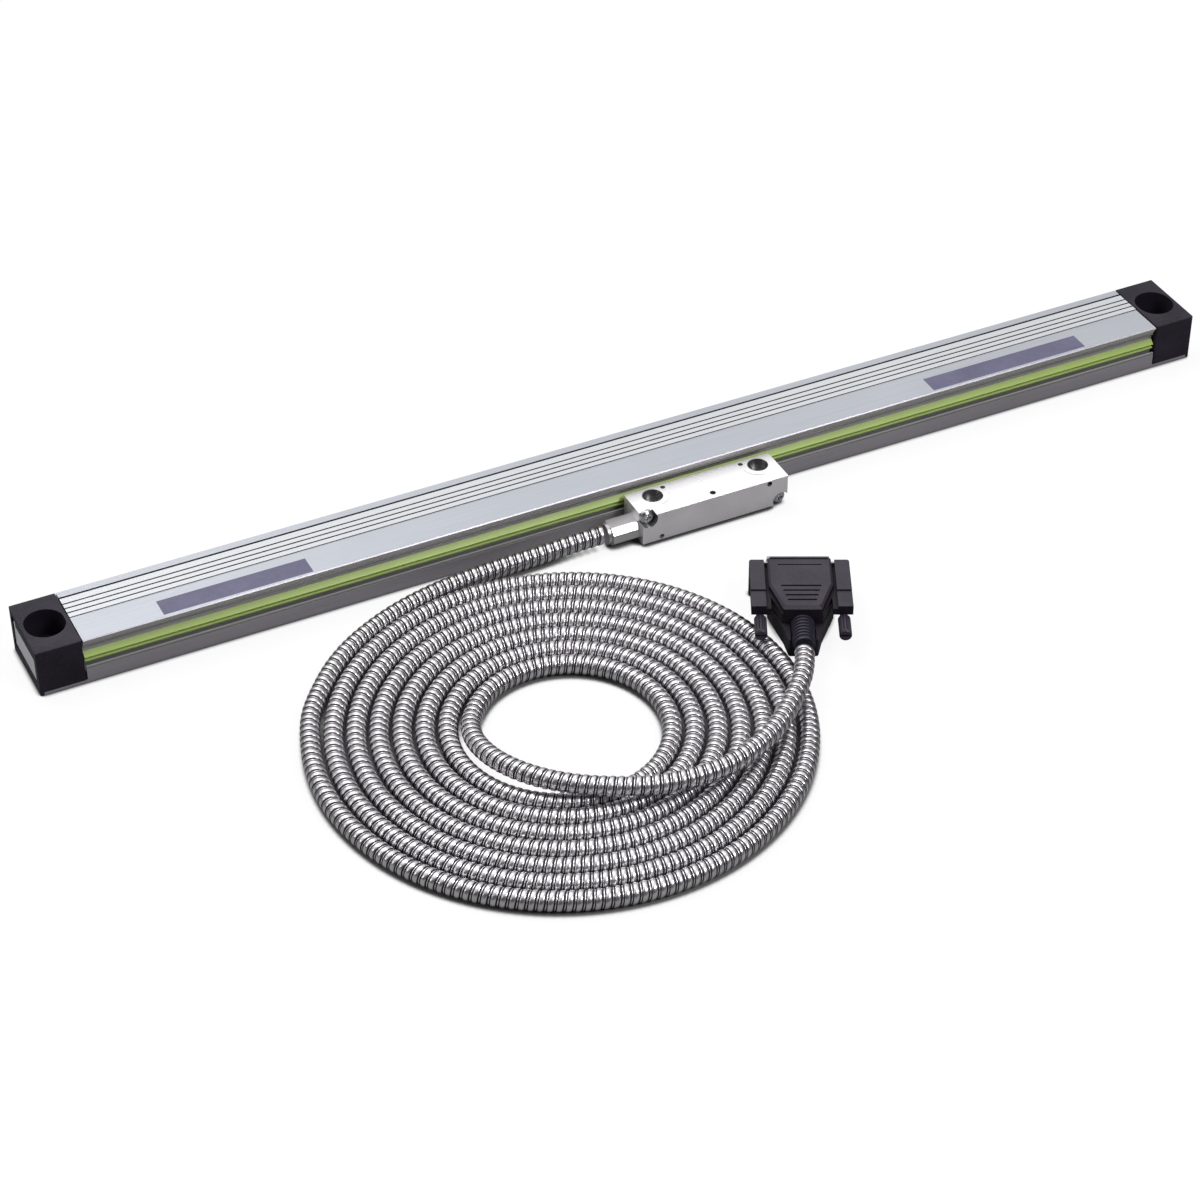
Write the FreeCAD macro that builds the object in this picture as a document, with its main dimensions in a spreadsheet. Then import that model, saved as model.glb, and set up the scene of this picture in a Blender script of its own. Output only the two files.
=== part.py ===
import FreeCAD, Part
import math
import os
import re
import Sketcher

# Sealed linear glass scale with a reading head, an armoured cable and a 15-pin plug.
# Frame: X runs along the scale, the reading head rides on the -Y side, Z is up from the mounting
# face, and the origin lies midway between the two mounting holes. Millimetres.

Vector = FreeCAD.Vector
doc = FreeCAD.newDocument("linear_glass_scale")
sheet = doc.addObject("Spreadsheet::Sheet", "Sizes")

SIZES = {
    # scale housing, an extrusion with a slit along its front
    "total_length": 508, "measuring_length": 350, "housing_width": 32, "housing_height": 20,
    "wall_back": 3, "wall_top": 2.8, "floor_thickness": 3.2, "edge_break": 0.4,
    "back_strip": 3.7, "deep_groove_width": 1, "deep_groove_depth": 1.6,
    "fine_groove_start": 7.85, "fine_groove_pitch": 2.85, "fine_groove_width": 0.7,
    "fine_groove_depth": 0.7, "band_start": 16.6, "band_step": 0.3,
    "flange_slant": 1.8, "flange_drop": 3.6, "bead": 0.4, "bead_height": 4.9,
    "slit_recess": 2.6, "slit_wall": 1.8, "slit_top": 13, "slit_bottom": 7.2,
    "seal_slot_width": 0.8, "seal_slot_depth": 1.4, "seal_slot_inset": 0.5,
    "gutter_floor": 4.8, "ridge_width": 0.7, "ridge_top": 7.3, "notch_height": 6.6, "notch_size": 0.3,
    "screw_port_width": 3.4, "screw_port_height": 3,
    "web_thickness": 1.2, "web_inset": 1.5,
    # seal lips
    "lip_gap_low": 9.45, "lip_gap_high": 10.75, "lip_reach": 0.7, "lip_play": 0.1,
    # glass scale and its clamping strip
    "glass_thickness": 2.4, "glass_width": 13.8, "glass_floor": 9, "glass_overrun": 31,
    "glass_slot_depth": 4, "glass_rib": 0.8, "clamp_strip_height": 1.2, "clamp_strip_width": 2.6,
    # end blocks
    "block_length": 18, "gasket_thickness": 0.5, "gasket_inset": 0.9, "block_fillet": 0.5,
    "counterbore_width": 15.4, "counterbore_stretch": 1.6, "counterbore_depth": 12,
    "mount_hole_radius": 2.4, "mount_hole_inset": 9,
    "plate_width": 26, "plate_height": 11, "plate_thickness": 0.4, "plate_recess": 0.8,
    "plate_centre": 9.4,
    "end_screw_radius": 1.25, "end_screw_head": 2.3, "end_screw_length": 25,
    "end_screw_inset": 1.6, "end_screw_low": 4.9, "end_screw_high": 15.9,
    # bare label plates on the flat band
    "label_width": 9, "label_front": 1.4, "label_thickness": 0.2,
    "label_left_end": 50.7, "label_left_length": 60, "label_right_end": 52.6, "label_right_length": 72.6,
    # reading head
    "head_centre": 19, "head_length": 64.3, "head_depth": 17, "head_gap": 0.6,
    "head_floor": 1.3, "head_height": 13.1, "head_edge": 0.3,
    "head_hole_left": 22.2, "head_hole_right": 24.6, "head_hole_back": 5.3,
    "head_hole_radius": 2.2, "head_bore_radius": 4.2, "head_bore_depth": 4.5,
    "clamp_screw_radius": 1, "clamp_screw_back": 2.1, "clamp_screw_step": 6.1,
    "tapped_radius": 1.25, "tapped_depth": 5, "tapped_front": 3,
    "corner_screw_side": 2.9, "corner_screw_edge": 2, "corner_bore_radius": 3.6, "corner_bore_depth": 3.6,
    "corner_screw_radius": 1.25, "corner_head_radius": 2.9, "corner_head_height": 1.9,
    "pin_hole_radius": 1.1, "pin_hole_side": 8.3, "pin_hole_edge": 1.6, "pin_hole_depth": 3,
    "cover_thickness": 1, "cover_inset": 0.6,
    "pocket_half": 15.5, "pocket_depth": 9.9, "pocket_floor": 1.7, "pocket_top": 7.7,
    "spot_radius": 6.9, "spot_depth": 0.15, "spot_width": 0.3,
    "board_thickness": 1, "board_rise": 1.2, "chip_height": 1.2,
    # arm, scanning carriage and its bearings
    "blade_half": 18.9, "blade_thickness": 0.8, "blade_floor": 9.6, "blade_grip": 3.4,
    "blade_entry": 5.6, "blade_point": 3, "ribbon_thickness": 0.2, "ribbon_width": 10,
    "carriage_half": 22, "carriage_entry": 6.6, "carriage_room": 6.2, "carriage_floor": 4.4,
    "carriage_top": 16, "carriage_slot_floor": 8.5, "carriage_slot_top": 11.9, "slot_room": 1.1,
    "bearing_radius": 2.5, "bearing_width": 2.2, "bearing_gap": 0.12, "axle_radius": 0.75,
    "running_fit": 0.05, "bearing_pocket": 0.5, "face_bearing_at": 16.5, "edge_bearing_at": 13,
    "face_bearing_in": 3.9, "reticle_length": 12, "reticle_width": 6, "reticle_thickness": 0.9,
    "reticle_gap": 0.3, "lamp_height": 3.2, "lamp_radius": 1.5, "sensor_board_length": 20,
    "sensor_board_thickness": 1, "sensor_gap": 0.2, "sensor_chip": 0.5, "chip_in": 0.9, "chip_width": 4.76,
    "spring_wire": 0.35, "spring_bend": 1.2, "spring_reach": 6.58,
    # armoured cable, its coil and its coupling on the head
    "conduit_radius": 3.8, "coupling_length": 11.5, "coupling_width": 10.6, "coupling_height": 8.4,
    "coupling_chamfer": 2.3, "cable_axis_depth": 9.9, "cable_axis_height": 5.8,
    "coupling_stub": 3, "coupling_stub_radius": 2.3, "wire_bore": 1.4, "ring_length": 1.4,
    "ring_radius": 4.4, "coil_centre_x": -88.8, "coil_centre_y": -122.5, "coil_start_radius": 93,
    "coil_pitch": 8.34, "coil_start_angle": 153.8, "coil_turns": 6.92,
    # plug
    "plug_x": 28.7, "plug_y": -83.7, "plug_turn": -26.2, "plug_tilt": -4.7,
    "plug_half": 19.2, "plug_seam": 7.5, "plug_top": 15, "plug_front_wall": 4, "plug_body_half": 12.6,
    "plug_body_length": 20.6, "plug_kink": 37.7, "plug_kink_half": 7.2, "plug_length": 45.9,
    "plug_end_half": 5.6, "plug_roof": 34.6, "plug_roof_kink": 17.9, "plug_roof_half": 12.2,
    "plug_roof_end": 7.2, "ear_floor": 9.3, "ear_top": 13.9, "ear_step_at": 20.8, "ear_step": 0.8,
    "ear_length": 31.4, "ear_inner": 11.6, "ear_valley": 1.3, "deck_height": 12,
    "plug_wall": 1.6, "hood_cavity_half": 9.4,
    "grip_first": 19, "grip_pitch": 3.2, "grip_width": 1.1, "grip_depth": 0.5, "grip_half": 7.6,
    "grip_narrowing": 0.7, "hood_round": 1, "hood_base_round": 0.6, "ear_round": 0.5, "roof_bevel": 1.2,
    "panel_rim": 0.9, "panel_depth": 0.35,
    "front_line_at": 4.6, "front_line_half": 8.4,
    "flange_half": 18.4, "flange_plate": 1, "flange_half_height": 6.1, "flange_at": 1.2,
    "shell_half": 12.4, "shell_taper": 1.1, "shell_half_height": 4.15, "shell_wall": 0.5,
    "shell_reach": 5.6, "insulator_back": 8, "insulator_front": 0.6, "contact_radius": 0.5,
    "contact_reach": 4.6, "contact_pitch": 2.76, "contact_row": 1.42, "contact_count": 8,
    "thumb_side": 15.8, "thumb_shaft": 1.5, "thumb_play": 0.1, "thumb_knob": 2.4,
    "thumb_knob_start": 31.6, "thumb_end": 42.9, "thumb_tip": 4,
    "thumb_mouth": 1.2, "thumb_collar": 1, "thumb_bevel": 0.45, "flute_count": 12, "flute_depth": 0.16,
    "boot_start": 34.8, "boot_end": 50, "boot_radius": 3.8, "boot_taper": 0.4, "boot_ring": 0.45, "boot_rings": 7,
    "hood_screw_side": 9.7, "hood_screw_at": 21.5, "hood_screw_radius": 1.25, "hood_screw_head": 2.2,
    "hood_screw_sink": 1.8, "hood_screw_top": 12,
}

for row, (name, value) in enumerate(SIZES.items(), 1):
    cell = "A%d" % row
    sheet.set(cell, str(value))
    sheet.setAlias(cell, name)
doc.recompute()

pieces = {}


# Helpers: sizes, sketches and features


def bound(text):
    """An expression whose plain words are cells of the sheet."""
    return re.sub(r"[a-z][a-z_]+", lambda word: "Sizes." + word.group(), text)


def size(text):
    return float(doc.getObject("Sizes").evalExpression(bound(text)))


def new_body(label, x="0", y="0", z="0"):
    body = doc.addObject("PartDesign::Body", label)
    body.Label = label
    for axis, text in zip("xyz", (x, y, z)):
        body.setExpression("Placement.Base." + axis, bound(text))
    pieces[label] = body
    return body


def sketch_on(body, role, offset="0"):
    """A sketch on one of the body's origin planes, moved along the plane's normal."""
    plane = [f for f in body.Origin.OriginFeatures if f.Role == role][0]
    sketch = body.newObject("Sketcher::SketchObject", body.Name + "_sketch")
    sketch.AttachmentSupport = [(plane, "")]
    sketch.MapMode = "FlatFace"
    sketch.setExpression("AttachmentOffset.Base.z", bound(offset))
    return sketch


def outline(sketch, points):
    """A closed polygon, each corner held by two dimensions from the sketch's origin."""
    first = sketch.GeometryCount
    corners = [(size(u), size(v)) for u, v in points]
    count = len(corners)
    for k, (u, v) in enumerate(corners):
        nu, nv = corners[(k + 1) % count]
        sketch.addGeometry(Part.LineSegment(Vector(u, v, 0), Vector(nu, nv, 0)), False)
    for k in range(count):
        sketch.addConstraint(Sketcher.Constraint("Coincident", first + k, 2, first + (k + 1) % count, 1))
    for k, (u, v) in enumerate(corners):
        hold(sketch, "DistanceX", first + k, 1, u, points[k][0])
        hold(sketch, "DistanceY", first + k, 1, v, points[k][1])


def hold(sketch, kind, geometry, point, value, text):
    index = sketch.addConstraint(Sketcher.Constraint(kind, -1, 1, geometry, point, value))
    sketch.setExpression("Constraints[%d]" % index, bound(text))


def circle(sketch, u, v, radius):
    place = Part.Circle(Vector(size(u), size(v), 0), Vector(0, 0, 1), size(radius))
    geometry = sketch.addGeometry(place, False)
    hold(sketch, "DistanceX", geometry, 3, size(u), u)
    hold(sketch, "DistanceY", geometry, 3, size(v), v)
    index = sketch.addConstraint(Sketcher.Constraint("Radius", geometry, size(radius)))
    sketch.setExpression("Constraints[%d]" % index, bound(radius))


def rectangle(sketch, u_low, v_low, u_high, v_high):
    outline(sketch, [(u_low, v_low), (u_high, v_low), (u_high, v_high), (u_low, v_high)])


def pad(body, sketch, length, both=False, backwards=False):
    feature = body.newObject("PartDesign::Pad", body.Name + "_pad")
    feature.Profile = sketch
    feature.setExpression("Length", bound(length))
    if both:
        feature.Midplane = True
    feature.Reversed = backwards
    return feature


def cut(body, sketch, length, forwards=False, both=False):
    """A pocket against the sketch's normal, or along it."""
    feature = body.newObject("PartDesign::Pocket", body.Name + "_cut")
    feature.Profile = sketch
    feature.setExpression("Length", bound(length))
    feature.Reversed = forwards
    if both:
        feature.Midplane = True
    return feature


def turned(body, sketch, feature_type="PartDesign::Revolution"):
    """A full turn of the sketch about its own vertical axis."""
    feature = body.newObject(feature_type, body.Name + "_turn")
    feature.Profile = sketch
    feature.ReferenceAxis = (sketch, ["V_Axis"])
    feature.Angle = 360
    return feature


def rounded(body, base, radius, pick):
    """A fillet on the edges that pick chooses."""
    doc.recompute()
    names = ["Edge%d" % k for k, e in enumerate(base.Shape.Edges, 1) if pick(e)]
    feature = body.newObject("PartDesign::Fillet", body.Name + "_fillet")
    feature.Base = (base, names)
    feature.setExpression("Radius", bound(radius))
    return feature


def bevelled(body, base, width, pick):
    """A chamfer on the edges that pick chooses."""
    doc.recompute()
    names = ["Edge%d" % k for k, e in enumerate(base.Shape.Edges, 1) if pick(e)]
    feature = body.newObject("PartDesign::Chamfer", body.Name + "_bevel")
    feature.Base = (base, names)
    feature.setExpression("Size", bound(width))
    return feature


def group_of(label, bodies):
    """Like solids, such as the screws of one kind, kept together under one name."""
    feature = doc.addObject("Part::Compound", label)
    feature.Label = label
    feature.Links = bodies
    pieces[label] = feature
    for body in bodies:
        pieces.pop(body.Label, None)
    return feature


def along(edge, axis):
    """True for a straight edge that runs along the given axis."""
    if edge.Curve.TypeId != "Part::GeomLine":
        return False
    return abs(abs(edge.tangentAt(edge.FirstParameter).dot(axis)) - 1) < 1e-6


# Scale housing: a drawn aluminium profile, milled away at both ends down to its floor web


FRONT = "-housing_width/2"
BACK = "housing_width/2"
HOUSING_LENGTH = "total_length-2*block_length-2*gasket_thickness"
INNER_BACK = "housing_width/2-wall_back"
SLIT_FACE = "-housing_width/2+slit_recess"
SLIT_INNER = "-housing_width/2+slit_recess+slit_wall"
SCREW_Y = "housing_width/2-wall_back-end_screw_inset"


def housing_top():
    """Corners of the top from back to front: edge strip, deep groove, fine grooves and flat band."""
    top = "housing_height"
    points = [(BACK, top + "-edge_break"), (BACK + "-edge_break", top)]
    start = BACK + "-back_strip"
    for u, v in (("", ""), ("", "-deep_groove_depth"), ("-deep_groove_width", "-deep_groove_depth"),
                 ("-deep_groove_width", "")):
        points.append((start + u, top + v))
    for k in range(3):
        start = BACK + "-fine_groove_start-%d*fine_groove_pitch" % k
        for u, v in (("", ""), ("", "-fine_groove_depth"), ("-fine_groove_width", "-fine_groove_depth"),
                     ("-fine_groove_width", "")):
            points.append((start + u, top + v))
    points += [(BACK + "-band_start", top), (BACK + "-band_start", top + "-band_step"),
               (FRONT + "+edge_break", top + "-band_step"), (FRONT, top + "-band_step-edge_break")]
    return points


def housing_front():
    """Corners of the front below the top edge: slanted flange, bead, slit with its two seal slots."""
    slot = SLIT_FACE + "+seal_slot_inset"
    slot_end = slot + "+seal_slot_width"
    top = "slit_top"
    low = "slit_bottom"
    return [
        (FRONT + "+flange_slant", "housing_height-flange_drop-bead"),
        (FRONT + "+flange_slant-bead", "housing_height-flange_drop-2*bead"),
        (FRONT + "+flange_slant-bead", "housing_height-bead_height+bead"),
        (SLIT_FACE, "housing_height-bead_height-bead"),
        (SLIT_FACE, top), (slot, top), (slot, top + "+seal_slot_depth"),
        (slot_end, top + "+seal_slot_depth"), (slot_end, top), (SLIT_INNER, top),
        (SLIT_INNER, "housing_height-wall_top"),
        (INNER_BACK + "-screw_port_width", "housing_height-wall_top"),
        (INNER_BACK + "-screw_port_width", "housing_height-wall_top-screw_port_height"),
        (INNER_BACK, "housing_height-wall_top-screw_port_height"),
        (INNER_BACK, "glass_floor+glass_thickness+clamp_strip_height+glass_rib"),
        (INNER_BACK + "-glass_slot_depth", "glass_floor+glass_thickness+clamp_strip_height+glass_rib"),
        (INNER_BACK + "-glass_slot_depth", "glass_floor+glass_thickness+clamp_strip_height"),
        (INNER_BACK, "glass_floor+glass_thickness+clamp_strip_height"),
        (INNER_BACK, "glass_floor"), (INNER_BACK + "-glass_slot_depth", "glass_floor"),
        (INNER_BACK + "-glass_slot_depth", "glass_floor-glass_rib"), (INNER_BACK, "glass_floor-glass_rib"),
        (INNER_BACK, "floor_thickness+screw_port_height"),
        (INNER_BACK + "-screw_port_width", "floor_thickness+screw_port_height"),
        (INNER_BACK + "-screw_port_width", "floor_thickness"),
        (SLIT_INNER, "floor_thickness"), (SLIT_INNER, low), (slot_end, low),
        (slot_end, low + "-seal_slot_depth"), (slot, low + "-seal_slot_depth"), (slot, low),
        (SLIT_FACE, low), (SLIT_FACE, "gutter_floor"), (FRONT + "+ridge_width", "gutter_floor"),
        (FRONT + "+ridge_width", "ridge_top"), (FRONT, "ridge_top"), (FRONT, "notch_height+notch_size"),
        (FRONT + "+notch_size", "notch_height"), (FRONT, "notch_height-notch_size"),
        (FRONT, "edge_break"), (FRONT + "+edge_break", "0"),
    ]


def make_housing():
    body = new_body("scale_housing")
    section = sketch_on(body, "YZ_Plane")
    outline(section, [(BACK + "-edge_break", "0"), (BACK, "edge_break")] + housing_top() + housing_front())
    pad(body, section, HOUSING_LENGTH, both=True)
    web = sketch_on(body, "XY_Plane")
    rectangle(web, "-total_length/2+web_inset", FRONT, "total_length/2-web_inset", BACK)
    pad(body, web, "web_thickness")
    holes = sketch_on(body, "XY_Plane")
    for side in ("-", ""):
        circle(holes, side + "(total_length/2-mount_hole_inset)", "0", "mount_hole_radius")
    cut(body, holes, "web_thickness", forwards=True)
    ports = sketch_on(body, "YZ_Plane")
    for height in ("end_screw_low", "end_screw_high"):
        circle(ports, SCREW_Y, height, "end_screw_radius")
    cut(body, ports, HOUSING_LENGTH, both=True)
    seats = sketch_on(body, "XY_Plane", "housing_height-band_step")
    for low, high in label_spans():
        rectangle(seats, low, FRONT + "+label_front", high, FRONT + "+label_front+label_width")
    cut(body, seats, "label_thickness")


def label_spans():
    return (("-total_length/2+label_left_end", "-total_length/2+label_left_end+label_left_length"),
            ("total_length/2-label_right_end-label_right_length", "total_length/2-label_right_end"))


def make_labels():
    for label, (low, high) in zip(("label_plate_left", "label_plate_right"), label_spans()):
        body = new_body(label)
        face = sketch_on(body, "XY_Plane", "housing_height-band_step-label_thickness")
        rectangle(face, low, FRONT + "+label_front", high, FRONT + "+label_front+label_width")
        pad(body, face, "label_thickness")


def make_lips():
    """Two extruded rubber lips, rooted in the seal slots and leaning out over the slit."""
    root = SLIT_FACE + "+seal_slot_inset+lip_play"
    root_end = SLIT_FACE + "+seal_slot_inset+seal_slot_width-lip_play"
    upper = [(root, "slit_top+seal_slot_depth-lip_play"), (root, "slit_top"),
             (SLIT_FACE + "+lip_play", "slit_top"),
             (FRONT + "+lip_reach", "lip_gap_high+0.5*lip_reach"), (FRONT + "+lip_reach+lip_play", "lip_gap_high"),
             (FRONT + "+lip_reach+0.4*slit_recess", "lip_gap_high"),
             (root_end, "slit_top-0.5*slit_wall+0.5*lip_reach"),
             (root_end, "slit_top+seal_slot_depth-lip_play")]
    lower = [(root, "slit_bottom-seal_slot_depth+lip_play"), (root_end, "slit_bottom-seal_slot_depth+lip_play"),
             (root_end, "slit_bottom+0.5*lip_reach"), (SLIT_FACE + "-0.3*lip_reach", "lip_gap_low"),
             (FRONT + "+lip_reach+3*lip_play", "lip_gap_low"),
             (FRONT + "+lip_reach+4*lip_play", "lip_gap_low-0.5*lip_reach"),
             (SLIT_FACE + "+lip_play", "slit_bottom"), (root, "slit_bottom")]
    for label, points in (("upper_lip_seal", upper), ("lower_lip_seal", lower)):
        body = new_body(label)
        section = sketch_on(body, "YZ_Plane")
        outline(section, points)
        pad(body, section, HOUSING_LENGTH, both=True)


def make_glass():
    """The graduated glass, bedded in the slot of the back wall under a rubber clamping strip."""
    length = "measuring_length+2*glass_overrun"
    back = INNER_BACK + "-lip_play"
    body = new_body("glass_scale")
    section = sketch_on(body, "YZ_Plane")
    rectangle(section, back + "-glass_width", "glass_floor", back, "glass_floor+glass_thickness")
    pad(body, section, length, both=True)
    body = new_body("glass_clamp_strip")
    section = sketch_on(body, "YZ_Plane")
    rectangle(section, back + "-clamp_strip_width", "glass_floor+glass_thickness", back,
              "glass_floor+glass_thickness+clamp_strip_height")
    pad(body, section, length, both=True)


# End blocks: moulded caps that close the profile and carry the mounting holes


def make_end_block(side, name):
    inner = side + "(total_length/2-block_length)"
    outer = side + "(total_length/2)"
    hole = side + "(total_length/2-mount_hole_inset)"
    body = new_body("end_block_" + name)
    base = sketch_on(body, "XY_Plane")
    rectangle(base, inner, FRONT, outer, BACK)
    block = pad(body, base, "housing_height")
    rounded(body, block, "block_fillet",
            lambda e: along(e, Vector(0, 0, 1)) or (along(e, Vector(1, 0, 0)) and e.BoundBox.ZMin > 1))
    rebate = sketch_on(body, "XY_Plane")
    rectangle(rebate, inner, FRONT, side + "(total_length/2-web_inset)", BACK)
    cut(body, rebate, "web_thickness", forwards=True)
    well = sketch_on(body, "XY_Plane", "housing_height")
    slot(well, hole, "counterbore_width/2", "counterbore_stretch/2")
    cut(body, well, "counterbore_depth")
    through = sketch_on(body, "XY_Plane")
    circle(through, hole, "0", "mount_hole_radius")
    cut(body, through, "housing_height", forwards=True)
    recess = sketch_on(body, "YZ_Plane", outer)
    rectangle(recess, "-plate_width/2", "plate_centre-plate_height/2",
              "plate_width/2", "plate_centre+plate_height/2")
    cut(body, recess, "plate_recess", forwards=(side == "-"))
    drills = sketch_on(body, "YZ_Plane", outer)
    for height in ("end_screw_low", "end_screw_high"):
        circle(drills, SCREW_Y, height, "end_screw_radius")
    cut(body, drills, "block_length", forwards=(side == "-"))
    heads = sketch_on(body, "YZ_Plane", outer)
    for height in ("end_screw_low", "end_screw_high"):
        circle(heads, SCREW_Y, height, "end_screw_head")
    cut(body, heads, "plate_recess+end_screw_head", forwards=(side == "-"))


def slot(sketch, u, radius, half):
    """A slot along the sketch's second axis: two half circles joined by straight sides."""
    cu = size(u)
    r = size(radius)
    h = size(half)
    top = sketch.addGeometry(
        Part.ArcOfCircle(Part.Circle(Vector(cu, h, 0), Vector(0, 0, 1), r), 0, math.pi), False)
    low = sketch.addGeometry(
        Part.ArcOfCircle(Part.Circle(Vector(cu, -h, 0), Vector(0, 0, 1), r), math.pi, 2 * math.pi), False)
    left = sketch.addGeometry(Part.LineSegment(Vector(cu - r, h, 0), Vector(cu - r, -h, 0)), False)
    right = sketch.addGeometry(Part.LineSegment(Vector(cu + r, -h, 0), Vector(cu + r, h, 0)), False)
    for a, pa, b, pb in ((top, 2, left, 1), (left, 2, low, 1), (low, 2, right, 1), (right, 2, top, 1)):
        sketch.addConstraint(Sketcher.Constraint("Tangent", a, pa, b, pb))
    hold(sketch, "DistanceX", top, 3, cu, u)
    hold(sketch, "DistanceY", top, 3, h, half)
    hold(sketch, "DistanceY", low, 3, -h, "-(" + half + ")")
    index = sketch.addConstraint(Sketcher.Constraint("Radius", top, r))
    sketch.setExpression("Constraints[%d]" % index, bound(radius))


def sector(sketch, x, y, radius, width, start, stop):
    """A narrow piece of a ring between two angles, given in degrees."""
    cx = size(x)
    cy = size(y)
    arcs = []
    for reach in (radius, radius + "-" + width):
        rim = Part.Circle(Vector(cx, cy, 0), Vector(0, 0, 1), size(reach))
        arc = sketch.addGeometry(Part.ArcOfCircle(rim, math.radians(start), math.radians(stop)), False)
        hold(sketch, "DistanceX", arc, 3, cx, x)
        hold(sketch, "DistanceY", arc, 3, cy, y)
        index = sketch.addConstraint(Sketcher.Constraint("Radius", arc, size(reach)))
        sketch.setExpression("Constraints[%d]" % index, bound(reach))
        for point, angle in ((1, start), (2, stop)):
            turn = math.radians(angle)
            upright = abs(math.sin(turn)) < abs(math.cos(turn))
            share = math.sin(turn) if upright else math.cos(turn)
            text = "%s+(%.5f)*(%s)" % (y if upright else x, share, reach)
            hold(sketch, "DistanceY" if upright else "DistanceX", arc, point, size(text), text)
        arcs.append(arc)
    for point in (1, 2):
        ends = []
        for reach, angle in ((radius, (start, stop)[point - 1]), (radius + "-" + width, (start, stop)[point - 1])):
            turn = math.radians(angle)
            ends.append(Vector(cx + size(reach) * math.cos(turn), cy + size(reach) * math.sin(turn), 0))
        line = sketch.addGeometry(Part.LineSegment(*ends), False)
        sketch.addConstraint(Sketcher.Constraint("Coincident", line, 1, arcs[0], point))
        sketch.addConstraint(Sketcher.Constraint("Coincident", line, 2, arcs[1], point))


def make_gasket(side, name):
    """A thin rubber gasket between the profile's end and the block, open at its middle."""
    inset = "gasket_inset"
    start = side + "(total_length/2-block_length-gasket_thickness/2)"
    body = new_body("end_gasket_" + name)
    ring = sketch_on(body, "YZ_Plane", start)
    rectangle(ring, FRONT + "+slit_recess+slit_wall-" + inset, "floor_thickness-" + inset,
              INNER_BACK + "+" + inset, "housing_height-wall_top+" + inset)
    rectangle(ring, SLIT_INNER, "floor_thickness", INNER_BACK + "-screw_port_width", "housing_height-wall_top")
    pad(body, ring, "gasket_thickness", both=True)
    holes = sketch_on(body, "YZ_Plane", start)
    for height in ("end_screw_low", "end_screw_high"):
        circle(holes, SCREW_Y, height, "end_screw_radius")
    cut(body, holes, "gasket_thickness", both=True)


def make_end_screws():
    screws = []
    for side in ("-", ""):
        for height in ("end_screw_low", "end_screw_high"):
            body = new_body("end_screw_%d" % len(screws))
            shank = sketch_on(body, "YZ_Plane", side + "(total_length/2-plate_recess-end_screw_head)")
            circle(shank, SCREW_Y, height, "end_screw_radius")
            pad(body, shank, "end_screw_length-end_screw_head", backwards=(side == ""))
            head = sketch_on(body, "YZ_Plane", side + "(total_length/2-plate_recess-end_screw_head)")
            circle(head, SCREW_Y, height, "end_screw_head")
            pad(body, head, "0.8*end_screw_head", backwards=(side == "-"))
            screws.append(body)
    group_of("end_screws", screws)


def make_end_plate():
    body = new_body("end_plate_left")
    face = sketch_on(body, "YZ_Plane", "-total_length/2+plate_recess")
    rectangle(face, "-plate_width/2+lip_play", "plate_centre-plate_height/2+lip_play",
              "plate_width/2-lip_play", "plate_centre+plate_height/2-lip_play")
    pad(body, face, "plate_thickness", backwards=True)


# Reading head: a milled block on an arm, with its circuit board behind a back cover


HEAD_BACK = "-housing_width/2-head_gap"
HEAD_FRONT = "-housing_width/2-head_gap-head_depth"
HEAD_LOW = "head_floor"
HEAD_HIGH = "head_floor+head_height"
HEAD_LEFT = "head_centre-head_length/2"
HEAD_RIGHT = "head_centre+head_length/2"
HOLE_Y = "-housing_width/2-head_gap-head_hole_back"
HOLES_X = ("head_centre-head_hole_left", "head_centre+head_hole_right")
CLAMPS_X = ("head_centre-head_hole_left+clamp_screw_step", "head_centre+head_hole_right-clamp_screw_step")
CLAMP_Y = "-housing_width/2-head_gap-clamp_screw_back"
CABLE_Y = "-housing_width/2-head_gap-cable_axis_depth+0.6"
CORNERS = (("head_centre-head_length/2+corner_screw_side", "head_floor+head_height-corner_screw_edge"),
           ("head_centre+head_length/2-corner_screw_side", "head_floor+corner_screw_edge"))


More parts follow.
